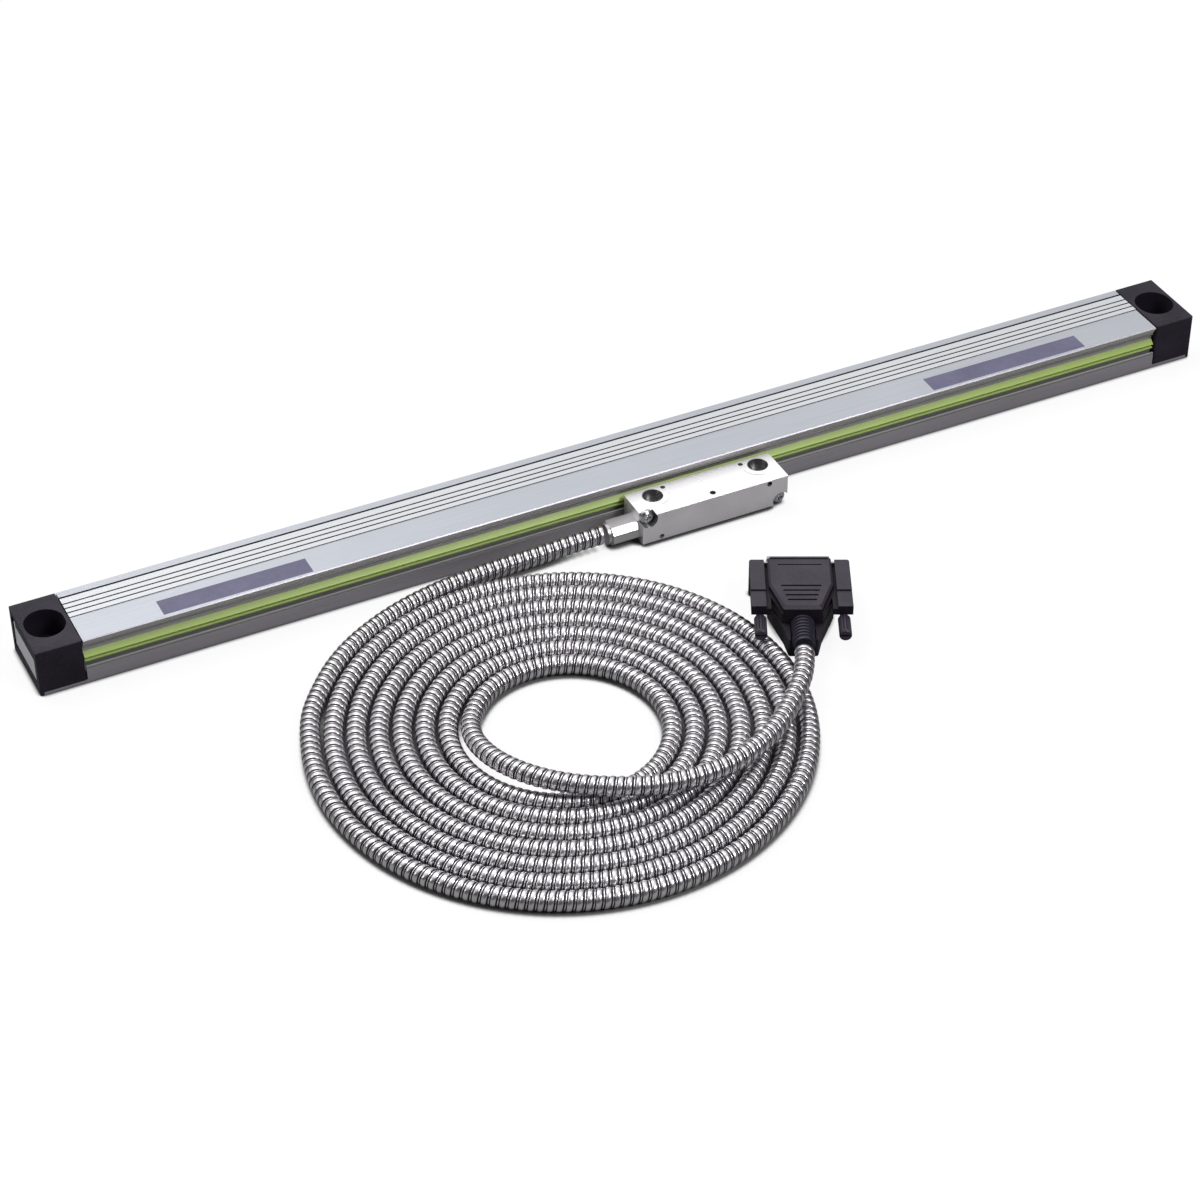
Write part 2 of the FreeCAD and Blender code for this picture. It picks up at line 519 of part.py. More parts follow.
def make_head_block():
    body = new_body("head_block")
    base = sketch_on(body, "XY_Plane", HEAD_LOW)
    rectangle(base, HEAD_LEFT, HEAD_FRONT, HEAD_RIGHT, HEAD_BACK)
    block = pad(body, base, "head_height")
    rounded(body, block, "head_edge", lambda e: e.BoundBox.YMax < size(HEAD_BACK) - 1)
    for radius, depth in (("head_hole_radius", "head_height"), ("head_bore_radius", "head_bore_depth")):
        holes = sketch_on(body, "XY_Plane", HEAD_HIGH)
        for x in HOLES_X:
            circle(holes, x, HOLE_Y, radius)
        cut(body, holes, depth)
    marks = sketch_on(body, "XY_Plane", HEAD_HIGH)
    sector(marks, HOLES_X[0], HOLE_Y, "spot_radius", "spot_width", 270, 350)
    sector(marks, HOLES_X[1], HOLE_Y, "spot_radius", "spot_width", 190, 270)
    cut(body, marks, "spot_depth")
    taps = sketch_on(body, "XY_Plane", HEAD_HIGH)
    for x in CLAMPS_X:
        circle(taps, x, CLAMP_Y, "clamp_screw_radius")
    cut(body, taps, "head_floor+head_height-blade_floor-blade_thickness")
    tap = sketch_on(body, "XY_Plane", HEAD_HIGH)
    circle(tap, "head_centre", HEAD_FRONT + "+tapped_front", "tapped_radius")
    cut(body, tap, "tapped_depth")
    for radius, depth in (("corner_screw_radius", "head_depth"), ("corner_bore_radius", "corner_bore_depth")):
        drill = sketch_on(body, "XZ_Plane", "housing_width/2+head_gap+head_depth")
        for x, z in CORNERS:
            circle(drill, x, z, radius)
        cut(body, drill, depth)
    pins = sketch_on(body, "XZ_Plane", "housing_width/2+head_gap+head_depth")
    circle(pins, HEAD_LEFT + "+pin_hole_side", HEAD_LOW + "+pin_hole_edge", "pin_hole_radius")
    circle(pins, HEAD_RIGHT + "-pin_hole_side", HEAD_HIGH + "-pin_hole_edge", "pin_hole_radius")
    cut(body, pins, "pin_hole_depth")
    seat = sketch_on(body, "XZ_Plane", "housing_width/2+head_gap")
    rectangle(seat, HEAD_LEFT + "+cover_inset", HEAD_LOW + "+cover_inset",
              HEAD_RIGHT + "-cover_inset", HEAD_HIGH + "-cover_inset")
    cut(body, seat, "cover_thickness", forwards=True)
    pocket = sketch_on(body, "XZ_Plane", "housing_width/2+head_gap")
    rectangle(pocket, "head_centre-pocket_half", HEAD_LOW + "+pocket_floor",
              "head_centre+pocket_half", HEAD_LOW + "+pocket_top")
    cut(body, pocket, "pocket_depth+cover_thickness", forwards=True)
    groove = sketch_on(body, "XZ_Plane", "housing_width/2+head_gap")
    rectangle(groove, "head_centre-blade_half", "blade_floor", "head_centre+blade_half",
              "blade_floor+blade_thickness+ribbon_thickness")
    cut(body, groove, "cover_thickness+blade_grip", forwards=True)
    wires = sketch_on(body, "YZ_Plane", HEAD_LEFT)
    circle(wires, CABLE_Y, "cable_axis_height", "wire_bore")
    cut(body, wires, "head_length/2-pocket_half+wire_bore", forwards=True)
    stub = sketch_on(body, "YZ_Plane", HEAD_LEFT)
    circle(stub, CABLE_Y, "cable_axis_height", "coupling_stub_radius")
    cut(body, stub, "coupling_stub", forwards=True)


def make_head_cover():
    body = new_body("head_back_cover")
    face = sketch_on(body, "XZ_Plane", "housing_width/2+head_gap")
    rectangle(face, HEAD_LEFT + "+cover_inset", HEAD_LOW + "+cover_inset",
              HEAD_RIGHT + "-cover_inset", HEAD_HIGH + "-cover_inset")
    pad(body, face, "cover_thickness")
    window = sketch_on(body, "XZ_Plane", "housing_width/2+head_gap")
    rectangle(window, "head_centre-blade_half-lip_play", "blade_floor-lip_play",
              "head_centre+blade_half+lip_play", "blade_floor+blade_thickness+ribbon_thickness+lip_play")
    cut(body, window, "cover_thickness", forwards=True)
    taps = sketch_on(body, "XZ_Plane", "housing_width/2+head_gap")
    for x, z in CORNERS:
        circle(taps, x, z, "corner_screw_radius")
    cut(body, taps, "cover_thickness", forwards=True)


def make_corner_screws():
    screws = []
    for x, z in CORNERS:
        body = new_body("corner_screw_%d" % len(screws))
        floor = "housing_width/2+head_gap+head_depth-corner_bore_depth"
        shank = sketch_on(body, "XZ_Plane", floor)
        circle(shank, x, z, "corner_screw_radius")
        pad(body, shank, "head_depth-corner_bore_depth", backwards=True)
        head = sketch_on(body, "XZ_Plane", floor)
        circle(head, x, z, "corner_head_radius")
        cap = pad(body, head, "corner_head_height")
        bevelled(body, cap, "0.45*corner_head_height",
                 lambda e, y=-size(floor) - size("corner_head_height"): abs(e.BoundBox.YMin - y) < 0.01)
        for width, height in (("0.35", "1.5"), ("1.5", "0.35")):
            cross = sketch_on(body, "XZ_Plane", floor + "+corner_head_height")
            rectangle(cross, x + "-" + width, z + "-" + height, x + "+" + width, z + "+" + height)
            cut(body, cross, "0.5*corner_head_height")
        screws.append(body)
    group_of("corner_screws", screws)


def make_clamp_screws():
    screws = []
    for x in CLAMPS_X:
        body = new_body("clamp_screw_%d" % len(screws))
        shank = sketch_on(body, "XY_Plane", "blade_floor+blade_thickness")
        circle(shank, x, CLAMP_Y, "clamp_screw_radius")
        pad(body, shank, "2.5*clamp_screw_radius")
        screws.append(body)
    group_of("blade_clamp_screws", screws)


# The blade and the front of the carriage keep their distance from the slit,
# and the slot and the back of the carriage keep theirs from the glass.

BLADE_TIP = "(blade_entry-housing_width/2)"
CARRIAGE_FRONT = "(carriage_entry-housing_width/2)"
CARRIAGE_BACK = "(housing_width/2-wall_back-carriage_room)"
GLASS_FRONT = "(housing_width/2-wall_back-lip_play-glass_width)"
SLOT_END = "(housing_width/2-wall_back-lip_play-glass_width-slot_room)"
FACE_Y = "(housing_width/2-wall_back-lip_play-glass_width+face_bearing_in)"


def make_arm_blade():
    """The thin blade that reaches through the lips, pointed at both ends to part them."""
    root = "-housing_width/2-head_gap-cover_thickness-blade_grip"
    waist = "-housing_width/2-head_gap"
    inner = BLADE_TIP
    body = new_body("arm_blade")
    face = sketch_on(body, "XY_Plane", "blade_floor")
    outline(face, [("head_centre-blade_half", root), ("head_centre+blade_half", root),
                   ("head_centre+blade_half", waist), ("head_centre+blade_half-blade_point", inner),
                   ("head_centre-blade_half+blade_point", inner), ("head_centre-blade_half", waist)])
    pad(body, face, "blade_thickness")


def make_ribbon():
    body = new_body("signal_ribbon")
    face = sketch_on(body, "XY_Plane", "blade_floor+blade_thickness")
    rectangle(face, "head_centre-ribbon_width/2", "-housing_width/2-head_gap-cover_thickness-blade_grip",
              "head_centre+ribbon_width/2", CARRIAGE_FRONT)
    pad(body, face, "ribbon_thickness")


def make_head_board():
    body = new_body("head_circuit_board")
    low = HEAD_LOW + "+pocket_floor"
    board = sketch_on(body, "XY_Plane", low + "+board_rise")
    deep = "-housing_width/2-head_gap-cover_thickness-pocket_depth"
    rectangle(board, "head_centre-pocket_half", deep, "head_centre+pocket_half", deep + "+0.9*pocket_depth")
    pad(body, board, "board_thickness")
    for at, width in (("-0.5", "0.3"), ("0.35", "0.45")):
        chip = sketch_on(body, "XY_Plane", low + "+board_rise+board_thickness")
        centre = "head_centre+" + at + "*pocket_half"
        rectangle(chip, centre + "-" + width + "*pocket_half/2", deep + "+0.2*pocket_depth",
                  centre + "+" + width + "*pocket_half/2", deep + "+0.7*pocket_depth")
        pad(body, chip, "chip_height")


# Scanning carriage inside the housing


def make_carriage():
    body = new_body("scanning_carriage")
    section = sketch_on(body, "YZ_Plane", "head_centre")
    outline(section, [(CARRIAGE_FRONT, "carriage_floor"), (CARRIAGE_BACK, "carriage_floor"),
                      (CARRIAGE_BACK, "carriage_slot_floor"), (SLOT_END, "carriage_slot_floor"),
                      (SLOT_END, "carriage_slot_top"), (CARRIAGE_BACK, "carriage_slot_top"),
                      (CARRIAGE_BACK, "carriage_top"), (CARRIAGE_FRONT, "carriage_top")])
    pad(body, section, "2*carriage_half", both=True)
    half = "(bearing_radius+bearing_pocket)"
    windows = sketch_on(body, "XY_Plane", "carriage_top")
    for side in ("-", "+"):
        x = "head_centre" + side + "face_bearing_at"
        rectangle(windows, x + "-" + half, FACE_Y + "-bearing_width/2-bearing_pocket",
                  x + "+" + half, FACE_Y + "+bearing_width/2+bearing_pocket")
    rectangle(windows, "head_centre-reticle_length/2", SLOT_END,
              "head_centre+reticle_length/2", SLOT_END + "+reticle_width")
    cut(body, windows, "carriage_top-carriage_slot_top")
    edge = sketch_on(body, "XY_Plane", "glass_floor+glass_thickness/2")
    for side in ("-", "+"):
        x = "head_centre" + side + "edge_bearing_at"
        rectangle(edge, x + "-0.9*" + half, EDGE_Y + "-" + half, x + "+0.9*" + half, SLOT_END)
    cut(body, edge, "carriage_slot_top-carriage_slot_floor", both=True)
    seat = sketch_on(body, "XY_Plane", "carriage_slot_floor")
    rectangle(seat, "head_centre-sensor_board_length/2", SLOT_END,
              "head_centre+sensor_board_length/2", CARRIAGE_BACK)
    cut(body, seat, "carriage_slot_floor-(glass_floor-sensor_gap-sensor_chip-sensor_board_thickness)")
    axles = sketch_on(body, "XZ_Plane", "-" + CARRIAGE_BACK)
    for side in ("-", "+"):
        circle(axles, "head_centre" + side + "face_bearing_at", FACE_Z, "axle_radius")
    cut(body, axles, CARRIAGE_BACK + "-" + SLOT_END, forwards=True)
    posts = sketch_on(body, "XY_Plane", "carriage_floor+1")
    for side in ("-", "+"):
        circle(posts, "head_centre" + side + "edge_bearing_at", EDGE_Y, "axle_radius")
    cut(body, posts, "carriage_top-carriage_floor-2", forwards=True)
    tongue = sketch_on(body, "XY_Plane", "blade_floor-0.2")
    rectangle(tongue, "head_centre-ribbon_width/2-1", CARRIAGE_FRONT, "head_centre+ribbon_width/2+1",
              CARRIAGE_FRONT + "+1.6")
    cut(body, tongue, "blade_thickness+ribbon_thickness+0.4", forwards=True)


FACE_Z = "glass_floor+glass_thickness+bearing_gap+bearing_radius"
EDGE_Y = "(housing_width/2-wall_back-lip_play-glass_width-bearing_gap-0.8*bearing_radius)"
EDGE_Z = "glass_floor+glass_thickness/2"


def make_bearing(label, radius, x, y, z, upright):
    """A shielded ball bearing as one ring, turned about its own axle."""
    body = new_body(label)
    ring = sketch_on(body, "XZ_Plane")
    half = "bearing_width/2"
    outline(ring, [("axle_radius+running_fit", "-" + half), ("0.45*" + radius, "-" + half),
                   ("0.45*" + radius, "-0.8*" + half), ("0.85*" + radius, "-0.8*" + half),
                   ("0.85*" + radius, "-" + half), (radius, "-" + half), (radius, half),
                   ("0.85*" + radius, half), ("0.85*" + radius, "0.8*" + half),
                   ("0.45*" + radius, "0.8*" + half), ("0.45*" + radius, half),
                   ("axle_radius+running_fit", half)])
    turned(body, ring)
    if not upright:
        body.Placement = FreeCAD.Placement(Vector(0, 0, 0), FreeCAD.Rotation(Vector(1, 0, 0), 90))
    for axis, text in zip("xyz", (x, y, z)):
        body.setExpression("Placement.Base." + axis, bound(text))


def make_bearings():
    for side, name in (("-", "left"), ("+", "right")):
        make_bearing("face_bearing_" + name, "bearing_radius", "head_centre" + side + "face_bearing_at",
                     FACE_Y, FACE_Z, upright=False)
        make_bearing("edge_bearing_" + name, "(0.8*bearing_radius)", "head_centre" + side + "edge_bearing_at",
                     EDGE_Y, EDGE_Z, upright=True)
    axles = []
    for side in ("-", "+"):
        body = new_body("axle_%d" % len(axles))
        face = sketch_on(body, "XZ_Plane", "-" + CARRIAGE_BACK)
        circle(face, "head_centre" + side + "face_bearing_at", FACE_Z, "axle_radius")
        pad(body, face, CARRIAGE_BACK + "-" + SLOT_END)
        axles.append(body)
        body = new_body("axle_%d" % len(axles))
        face = sketch_on(body, "XY_Plane", "carriage_floor+1")
        circle(face, "head_centre" + side + "edge_bearing_at", EDGE_Y, "axle_radius")
        pad(body, face, "carriage_top-carriage_floor-2")
        axles.append(body)
    group_of("bearing_axles", axles)


def make_optics():
    """Lamp holder and reticle above the glass, photocell board below it."""
    reticle_low = "glass_floor+glass_thickness+reticle_gap"
    left = "head_centre-reticle_length/2"
    right = "head_centre+reticle_length/2"
    body = new_body("scanning_reticle")
    face = sketch_on(body, "XY_Plane", reticle_low)
    rectangle(face, left, SLOT_END, right, SLOT_END + "+reticle_width")
    pad(body, face, "reticle_thickness")
    body = new_body("lamp_holder")
    face = sketch_on(body, "XY_Plane", reticle_low + "+reticle_thickness")
    rectangle(face, left, SLOT_END, right, SLOT_END + "+reticle_width")
    pad(body, face, "lamp_height")
    bore = sketch_on(body, "XY_Plane", reticle_low + "+reticle_thickness")
    circle(bore, "head_centre", SLOT_END + "+reticle_width/2", "lamp_radius")
    cut(body, bore, "0.6*lamp_height", forwards=True)
    body = new_body("lamp")
    profile = sketch_on(body, "XZ_Plane")
    outline(profile, [("0", "0.25*lamp_height"), ("0.6*lamp_radius", "0.3*lamp_height"),
                      ("lamp_radius", "0.45*lamp_height"), ("lamp_radius", "0.6*lamp_height"),
                      ("0", "0.6*lamp_height")])
    turned(body, profile)
    for axis, text in zip("xyz", ("head_centre", SLOT_END + "+reticle_width/2",
                                  reticle_low + "+reticle_thickness")):
        body.setExpression("Placement.Base." + axis, bound(text))
    body = new_body("sensor_board")
    top = "glass_floor-sensor_gap-sensor_chip"
    face = sketch_on(body, "XY_Plane", top)
    rectangle(face, "head_centre-sensor_board_length/2", SLOT_END,
              "head_centre+sensor_board_length/2", CARRIAGE_BACK)
    pad(body, face, "sensor_board_thickness", backwards=True)
    chip = sketch_on(body, "XY_Plane", top)
    rectangle(chip, left, GLASS_FRONT + "+chip_in", right, GLASS_FRONT + "+chip_in+chip_width")
    pad(body, chip, "sensor_chip")


def make_spring():
    """A bent wire that stands on the blade and presses the carriage onto the glass."""
    body = new_body("pressure_spring")
    x = "head_centre-0.5*blade_half"
    y = "(" + BLADE_TIP + "-spring_wire)"
    top = "(carriage_top+spring_wire+0.1)"
    path = body.newObject("Sketcher::SketchObject", "spring_path")
    plane = [f for f in body.Origin.OriginFeatures if f.Role == "YZ_Plane"][0]
    path.AttachmentSupport = [(plane, "")]
    path.MapMode = "FlatFace"
    path.setExpression("AttachmentOffset.Base.z", bound(x))
    y0 = size(y)
    z0 = size("blade_floor+blade_thickness")
    z1 = size(top)
    r = size("spring_bend")
    tip = CARRIAGE_FRONT + "+spring_reach"
    end = size(tip)
    path.addGeometry(Part.LineSegment(Vector(y0, z0, 0), Vector(y0, z1 - r, 0)), False)
    path.addGeometry(Part.ArcOfCircle(Part.Circle(Vector(y0 + r, z1 - r, 0), Vector(0, 0, 1), r),
                                      math.pi / 2, math.pi), False)
    path.addGeometry(Part.LineSegment(Vector(y0 + r, z1, 0), Vector(end, z1, 0)), False)
    path.addConstraint(Sketcher.Constraint("Tangent", 0, 2, 1, 2))
    path.addConstraint(Sketcher.Constraint("Tangent", 1, 1, 2, 1))
    path.addConstraint(Sketcher.Constraint("Vertical", 0))
    hold(path, "DistanceX", 0, 1, y0, y)
    hold(path, "DistanceY", 0, 1, z0, "blade_floor+blade_thickness")
    hold(path, "DistanceY", 2, 2, z1, top)
    hold(path, "DistanceX", 2, 2, end, tip)
    index = path.addConstraint(Sketcher.Constraint("Radius", 1, r))
    path.setExpression("Constraints[%d]" % index, bound("spring_bend"))
    path.addConstraint(Sketcher.Constraint("Horizontal", 2))
    wire = sketch_on(body, "XY_Plane", "blade_floor+blade_thickness")
    circle(wire, x, y, "spring_wire")
    pipe = body.newObject("PartDesign::AdditivePipe", "spring_pipe")
    pipe.Profile = wire
    pipe.Spine = (path, ["Edge1", "Edge2", "Edge3"])


# Cable: coupling on the head, armoured conduit in three lengths, and the plug


def make_coupling():
    """The eight-sided sleeve that clamps the conduit to the head, with its end ring."""
    w = "coupling_width/2"
    t = "coupling_height/2"
    c = "coupling_chamfer"
    y = CABLE_Y
    z = "cable_axis_height"
    body = new_body("cable_coupling")
    face = sketch_on(body, "YZ_Plane", HEAD_LEFT)
    corners = [("-" + w, "-" + t + "+" + c), ("-" + w + "+" + c, "-" + t), (w + "-" + c, "-" + t),
               (w, "-" + t + "+" + c), (w, t + "-" + c), (w + "-" + c, t), ("-" + w + "+" + c, t),
               ("-" + w, t + "-" + c)]
    outline(face, [(y + "+" + u if u[0] != "-" else y + u, z + "+" + v if v[0] != "-" else z + v)
                   for u, v in corners])
    pad(body, face, "coupling_length", backwards=True)
    stub = sketch_on(body, "YZ_Plane", HEAD_LEFT)
    circle(stub, y, z, "coupling_stub_radius")
    pad(body, stub, "coupling_stub")
    bore = sketch_on(body, "YZ_Plane", HEAD_LEFT + "+coupling_stub")
    circle(bore, y, z, "wire_bore")
    cut(body, bore, "coupling_stub+coupling_length")
    body = new_body("coupling_ring")
    face = sketch_on(body, "YZ_Plane", HEAD_LEFT + "-coupling_length")
    circle(face, y, z, "ring_radius")
    pad(body, face, "ring_length", backwards=True)


CABLE_START = Vector(size(HEAD_LEFT + "-coupling_length-ring_length"), size(CABLE_Y), size("cable_axis_height"))
COIL_CENTRE = Vector(size("coil_centre_x"), size("coil_centre_y"), 0)


def coil_radius(turn):
    return size("coil_start_radius") - size("coil_pitch") * turn


def coil_point(turn, side=0.0, height=None):
    """A point of the flat coil, counted in turns from where the lead joins it."""
    angle = math.radians(size("coil_start_angle")) + 2 * math.pi * turn
    radius = coil_radius(turn) + side
    z = size("conduit_radius") if height is None else height
    return COIL_CENTRE + Vector(radius * math.cos(angle), radius * math.sin(angle), z)


def plug_placement():
    turn = FreeCAD.Rotation(Vector(0, 0, 1), size("plug_turn"))
    tilt = FreeCAD.Rotation(Vector(1, 0, 0), size("plug_tilt"))
    return FreeCAD.Placement(Vector(size("plug_x"), size("plug_y"), 0), turn * tilt)


CABLE_END = plug_placement().multVec(Vector(0, -size("boot_end"), size("plug_seam")))
PLUG_AXIS = plug_placement().Rotation.multVec(Vector(0, 1, 0))


LEAD_ROUTE = [CABLE_START, Vector(-38, CABLE_START.y, CABLE_START.z), Vector(-54, -25.4, 4.5),
              Vector(-74, -24.9, 3.8), Vector(-98, -27.2, 3.8), Vector(-123.2, -34.3, 3.8),
              Vector(-147.6, -48.1, 3.8), Vector(-166.12, -68.97, 3.8), coil_point(0)]
TAIL_ROUTE = [coil_point(size("coil_turns")), Vector(-116.4, -101.1, 4.3), Vector(-121.4, -110.3, 5.8),
              Vector(-123.4, -121.3, 7.9), Vector(-121.4, -136.3, 10.5), Vector(-113.2, -151.2, 11.9),
              Vector(-99.5, -163.5, 12.3), Vector(-77, -174.5, 12.2), Vector(-50, -176.5, 12.1),
              Vector(-26, -166.5, 12.1), Vector(-8.5, -150.5, 12.1), CABLE_END - PLUG_AXIS * 13, CABLE_END]


def tube_path(points):
    """Straight runs joined by tangent arcs, each as large as its two runs allow."""
    edges = []
    start = points[0]
    for before, corner, after in zip(points, points[1:], points[2:]):
        back = before - corner
        ahead = after - corner
        turn = math.pi - back.getAngle(ahead)
        reach = 0.45 * min(back.Length, ahead.Length)
        print("arc radius %.1f mm at %s" % (reach / math.tan(turn / 2), [round(c, 1) for c in corner]))
        first = corner + back.normalize() * reach
        last = corner + ahead.normalize() * reach
        middle = ((first + last) * 0.5 - corner).normalize()
        radius = reach / math.tan(turn / 2)
        bulge = corner + middle * (radius / math.cos(turn / 2) - radius)
        edges.append(Part.LineSegment(start, first).toShape())
        edges.append(Part.Arc(first, bulge, last).toShape())
        start = last
    edges.append(Part.LineSegment(start, points[-1]).toShape())
    return Part.Wire(edges)


def make_tube(label, points):
    path = tube_path(points)
    radius = size("conduit_radius")
    ends = Part.Circle(points[0], points[1] - points[0], radius)
    shape = path.makePipe(Part.Face(Part.Wire([ends.toShape()])))
    expected = math.pi * radius ** 2 * path.Length
    share = shape.Volume / expected
    print("%s length %.1f mm, volume over section times length %.4f" % (label, path.Length, share))
    feature = doc.addObject("Part::Feature", label)
    feature.Label = label
    feature.Shape = shape
    pieces[label] = feature


def spiral_edges(first_turn, side):
    """One turn of the spiral as eight arcs through its own points."""
    edges = []
    for k in range(8):
        t = first_turn + k / 8.0
        ends = [coil_point(t + step, side, 0) for step in (0, 0.0625, 0.125)]
        edges.append(Part.Arc(*ends).toShape())
    return edges


def make_coil():
    """The outer shape of the flat coil: a plate between its first turn and its last."""
    radius = size("conduit_radius")
    turns = size("coil_turns")
    rims = []
    for first, side in ((0, radius), (turns - 1, -radius)):
        edges = spiral_edges(first, side)
        step = Part.LineSegment(coil_point(first + 1, side, 0), coil_point(first, side, 0)).toShape()
        rims.append(Part.Wire(edges + [step]))
    face = Part.Face(rims[0]).cut(Part.Face(rims[1])).Faces[0]
    feature = doc.addObject("Part::Feature", "conduit_coil")
    feature.Label = "conduit_coil"
    feature.Shape = face.extrude(Vector(0, 0, 2 * radius))
    pieces["conduit_coil"] = feature
    wound = 2 * math.pi * (size("coil_start_radius") * turns - size("coil_pitch") * turns ** 2 / 2)
    print("conduit in the coil %.0f mm" % wound)


# Plug: local x runs across it, local -y towards the cable, and its front edge rests on the floor


def plug_body(label):
    body = new_body(label)
    for axis in "xyz":
        body.setExpression("Placement.Base." + axis, None)
    body.Placement = plug_placement()
    return body


def mirrored(points):
    """The right half of an outline and its mirror image on the left."""
    return points + [("-(" + u + ")", v) for u, v in reversed(points)]


def make_hood_lower():
    body = plug_body("plug_hood_lower")
    base = sketch_on(body, "XY_Plane")
    outline(base, mirrored([("plug_half", "0"), ("plug_half", "-plug_front_wall"),
                            ("plug_body_half", "-plug_front_wall"), ("plug_body_half", "-plug_body_length"),
                            ("plug_kink_half", "-plug_kink"), ("plug_end_half", "-plug_length")]))
    shell = pad(body, base, "plug_seam")
    front = size("-plug_front_wall") / 2
    shell = rounded(body, shell, "hood_round", lambda e: along(e, Vector(0, 0, 1)) and (
        e.BoundBox.YMax > front or e.BoundBox.YMin < size("-plug_body_length") - 1))
    rounded(body, shell, "hood_base_round", lambda e: e.BoundBox.ZMax < 0.01 and e.BoundBox.YMin < front - 2.5)
    hollow = sketch_on(body, "XY_Plane", "plug_wall")
    outline(hollow, mirrored([("hood_cavity_half", "-insulator_back"),
                              ("hood_cavity_half", "-0.8*plug_body_length"),
                              ("boot_radius", "-boot_start")]))
    cut(body, hollow, "plug_seam-plug_wall", forwards=True)
    hood_cuts(body)
    drills = sketch_on(body, "XY_Plane")
    heads = sketch_on(body, "XY_Plane")
    for side in ("-", ""):
        circle(drills, side + "hood_screw_side", "-hood_screw_at", "hood_screw_radius")
        circle(heads, side + "hood_screw_side", "-hood_screw_at", "hood_screw_head")
    cut(body, drills, "plug_seam", forwards=True)
    cut(body, heads, "hood_screw_sink", forwards=True)


def hood_cuts(body):
    """Room in a half shell for the flange, the insulator, the thumb screws and the boot."""
    flange = sketch_on(body, "XZ_Plane", "flange_at")
    rectangle(flange, "-flange_half", "plug_seam-flange_half_height",
              "flange_half", "plug_seam+flange_half_height")
    cut(body, flange, "flange_plate", forwards=True)
    mouth = sketch_on(body, "XZ_Plane")
    rectangle(mouth, "-shell_half-lip_play", "plug_seam-shell_half_height-lip_play",
              "shell_half+lip_play", "plug_seam+shell_half_height+lip_play")
    cut(body, mouth, "insulator_back", forwards=True)
    screws = sketch_on(body, "XZ_Plane")
    for side in ("-", ""):
        circle(screws, side + "thumb_side", "plug_seam", "thumb_shaft+thumb_play")
    cut(body, screws, "plug_front_wall", forwards=True)
    boot = sketch_on(body, "XZ_Plane", "boot_start")
    circle(boot, "0", "plug_seam", "boot_radius+boot_taper+boot_ring+lip_play")
    cut(body, boot, "plug_length", forwards=True)


def make_hood_upper():
    body = plug_body("plug_hood_upper")
    base = sketch_on(body, "XY_Plane", "plug_seam")
    outline(base, mirrored([("plug_half", "0"), ("plug_half", "-plug_front_wall"),
                            ("plug_body_half", "-plug_front_wall"), ("plug_body_half", "-plug_body_length"),
                            ("plug_roof_end+0.5", "-plug_roof")]))
    pad(body, base, "deck_height-plug_seam")
    inner = "plug_roof_half+ear_valley"
    for low, high, start, back in (("ear_floor", "deck_height", "ear_inner", "ear_length"),
                                   ("deck_height", "ear_top-ear_step", inner, "ear_length"),
                                   ("ear_top-ear_step", "ear_top", inner, "ear_step_at")):
        ears = sketch_on(body, "XY_Plane", low)
        for side in ("-", ""):
            rectangle(ears, "%s(%s)" % (side, start), "-" + back, side + "plug_half", "0")
        shell = pad(body, ears, "(%s)-(%s)" % (high, low))
    side = size("plug_roof_half") + 2
    shell = rounded(body, shell, "hood_round", lambda e: along(e, Vector(0, 0, 1)) and (
        e.BoundBox.YMax > -0.01 and abs(e.BoundBox.XMin) > side))
    roof = sketch_on(body, "XY_Plane", "ear_floor")
    outline(roof, mirrored([("plug_roof_half", "0"), ("plug_roof_half", "-plug_roof_kink"),
                            ("plug_roof_end", "-plug_roof")]))
    shell = pad(body, roof, "plug_top-ear_floor")
    high = size("plug_top") - 0.01
    level = size("ear_top")
    shell = rounded(body, shell, "ear_round", lambda e: abs(e.BoundBox.ZMin - level) < 0.01 and (
        e.BoundBox.ZMax < level + 0.01 and abs(e.BoundBox.XMax + e.BoundBox.XMin) / 2 > side))
    shell = bevelled(body, shell, "roof_bevel", lambda e: e.BoundBox.ZMin > high and e.BoundBox.YMin < -0.01)
    panel = sketch_on(body, "XY_Plane", "plug_top")
    rim = "roof_bevel+panel_rim"
    outline(panel, mirrored([("plug_roof_half-" + rim, "-panel_rim"),
                             ("plug_roof_half-" + rim, "-plug_roof_kink+0.4*panel_rim"),
                             ("plug_roof_end-" + rim, "-plug_roof+" + rim)]))
    cut(body, panel, "panel_depth")
    hollow = sketch_on(body, "XY_Plane", "plug_top-plug_wall")
    outline(hollow, mirrored([("hood_cavity_half", "-insulator_back"),
                              ("hood_cavity_half", "-0.8*plug_body_length"),
                              ("boot_radius", "-plug_roof+plug_wall")]))
    cut(body, hollow, "plug_top-plug_wall-plug_seam")
    hood_cuts(body)
    grips = sketch_on(body, "XY_Plane", "plug_top-panel_depth")
    rectangle(grips, "-front_line_half", "-front_line_at-0.6*grip_width", "front_line_half", "-front_line_at")
    for k in range(4):
        start = "-grip_first-%d*grip_pitch" % k
        narrow = "-%d*grip_narrowing" % k
        rectangle(grips, "-grip_half+%d*grip_narrowing" % k, start + "-grip_width",
                  "grip_half" + narrow, start)
    cut(body, grips, "grip_depth")
    drills = sketch_on(body, "XY_Plane", "plug_seam")
    for side in ("-", ""):
        circle(drills, side + "hood_screw_side", "-hood_screw_at", "hood_screw_radius")
    cut(body, drills, "hood_screw_top-plug_seam", forwards=True)


def d_outline(sketch, inset):
    """The D outline of the shell, wide side up."""
    outline(sketch, mirrored([
        ("shell_half-shell_taper-" + inset, "plug_seam-shell_half_height+" + inset),
        ("shell_half-" + inset, "plug_seam+0.5*shell_half_height"),
        ("shell_half-0.5*shell_taper-" + inset, "plug_seam+shell_half_height-" + inset)]))


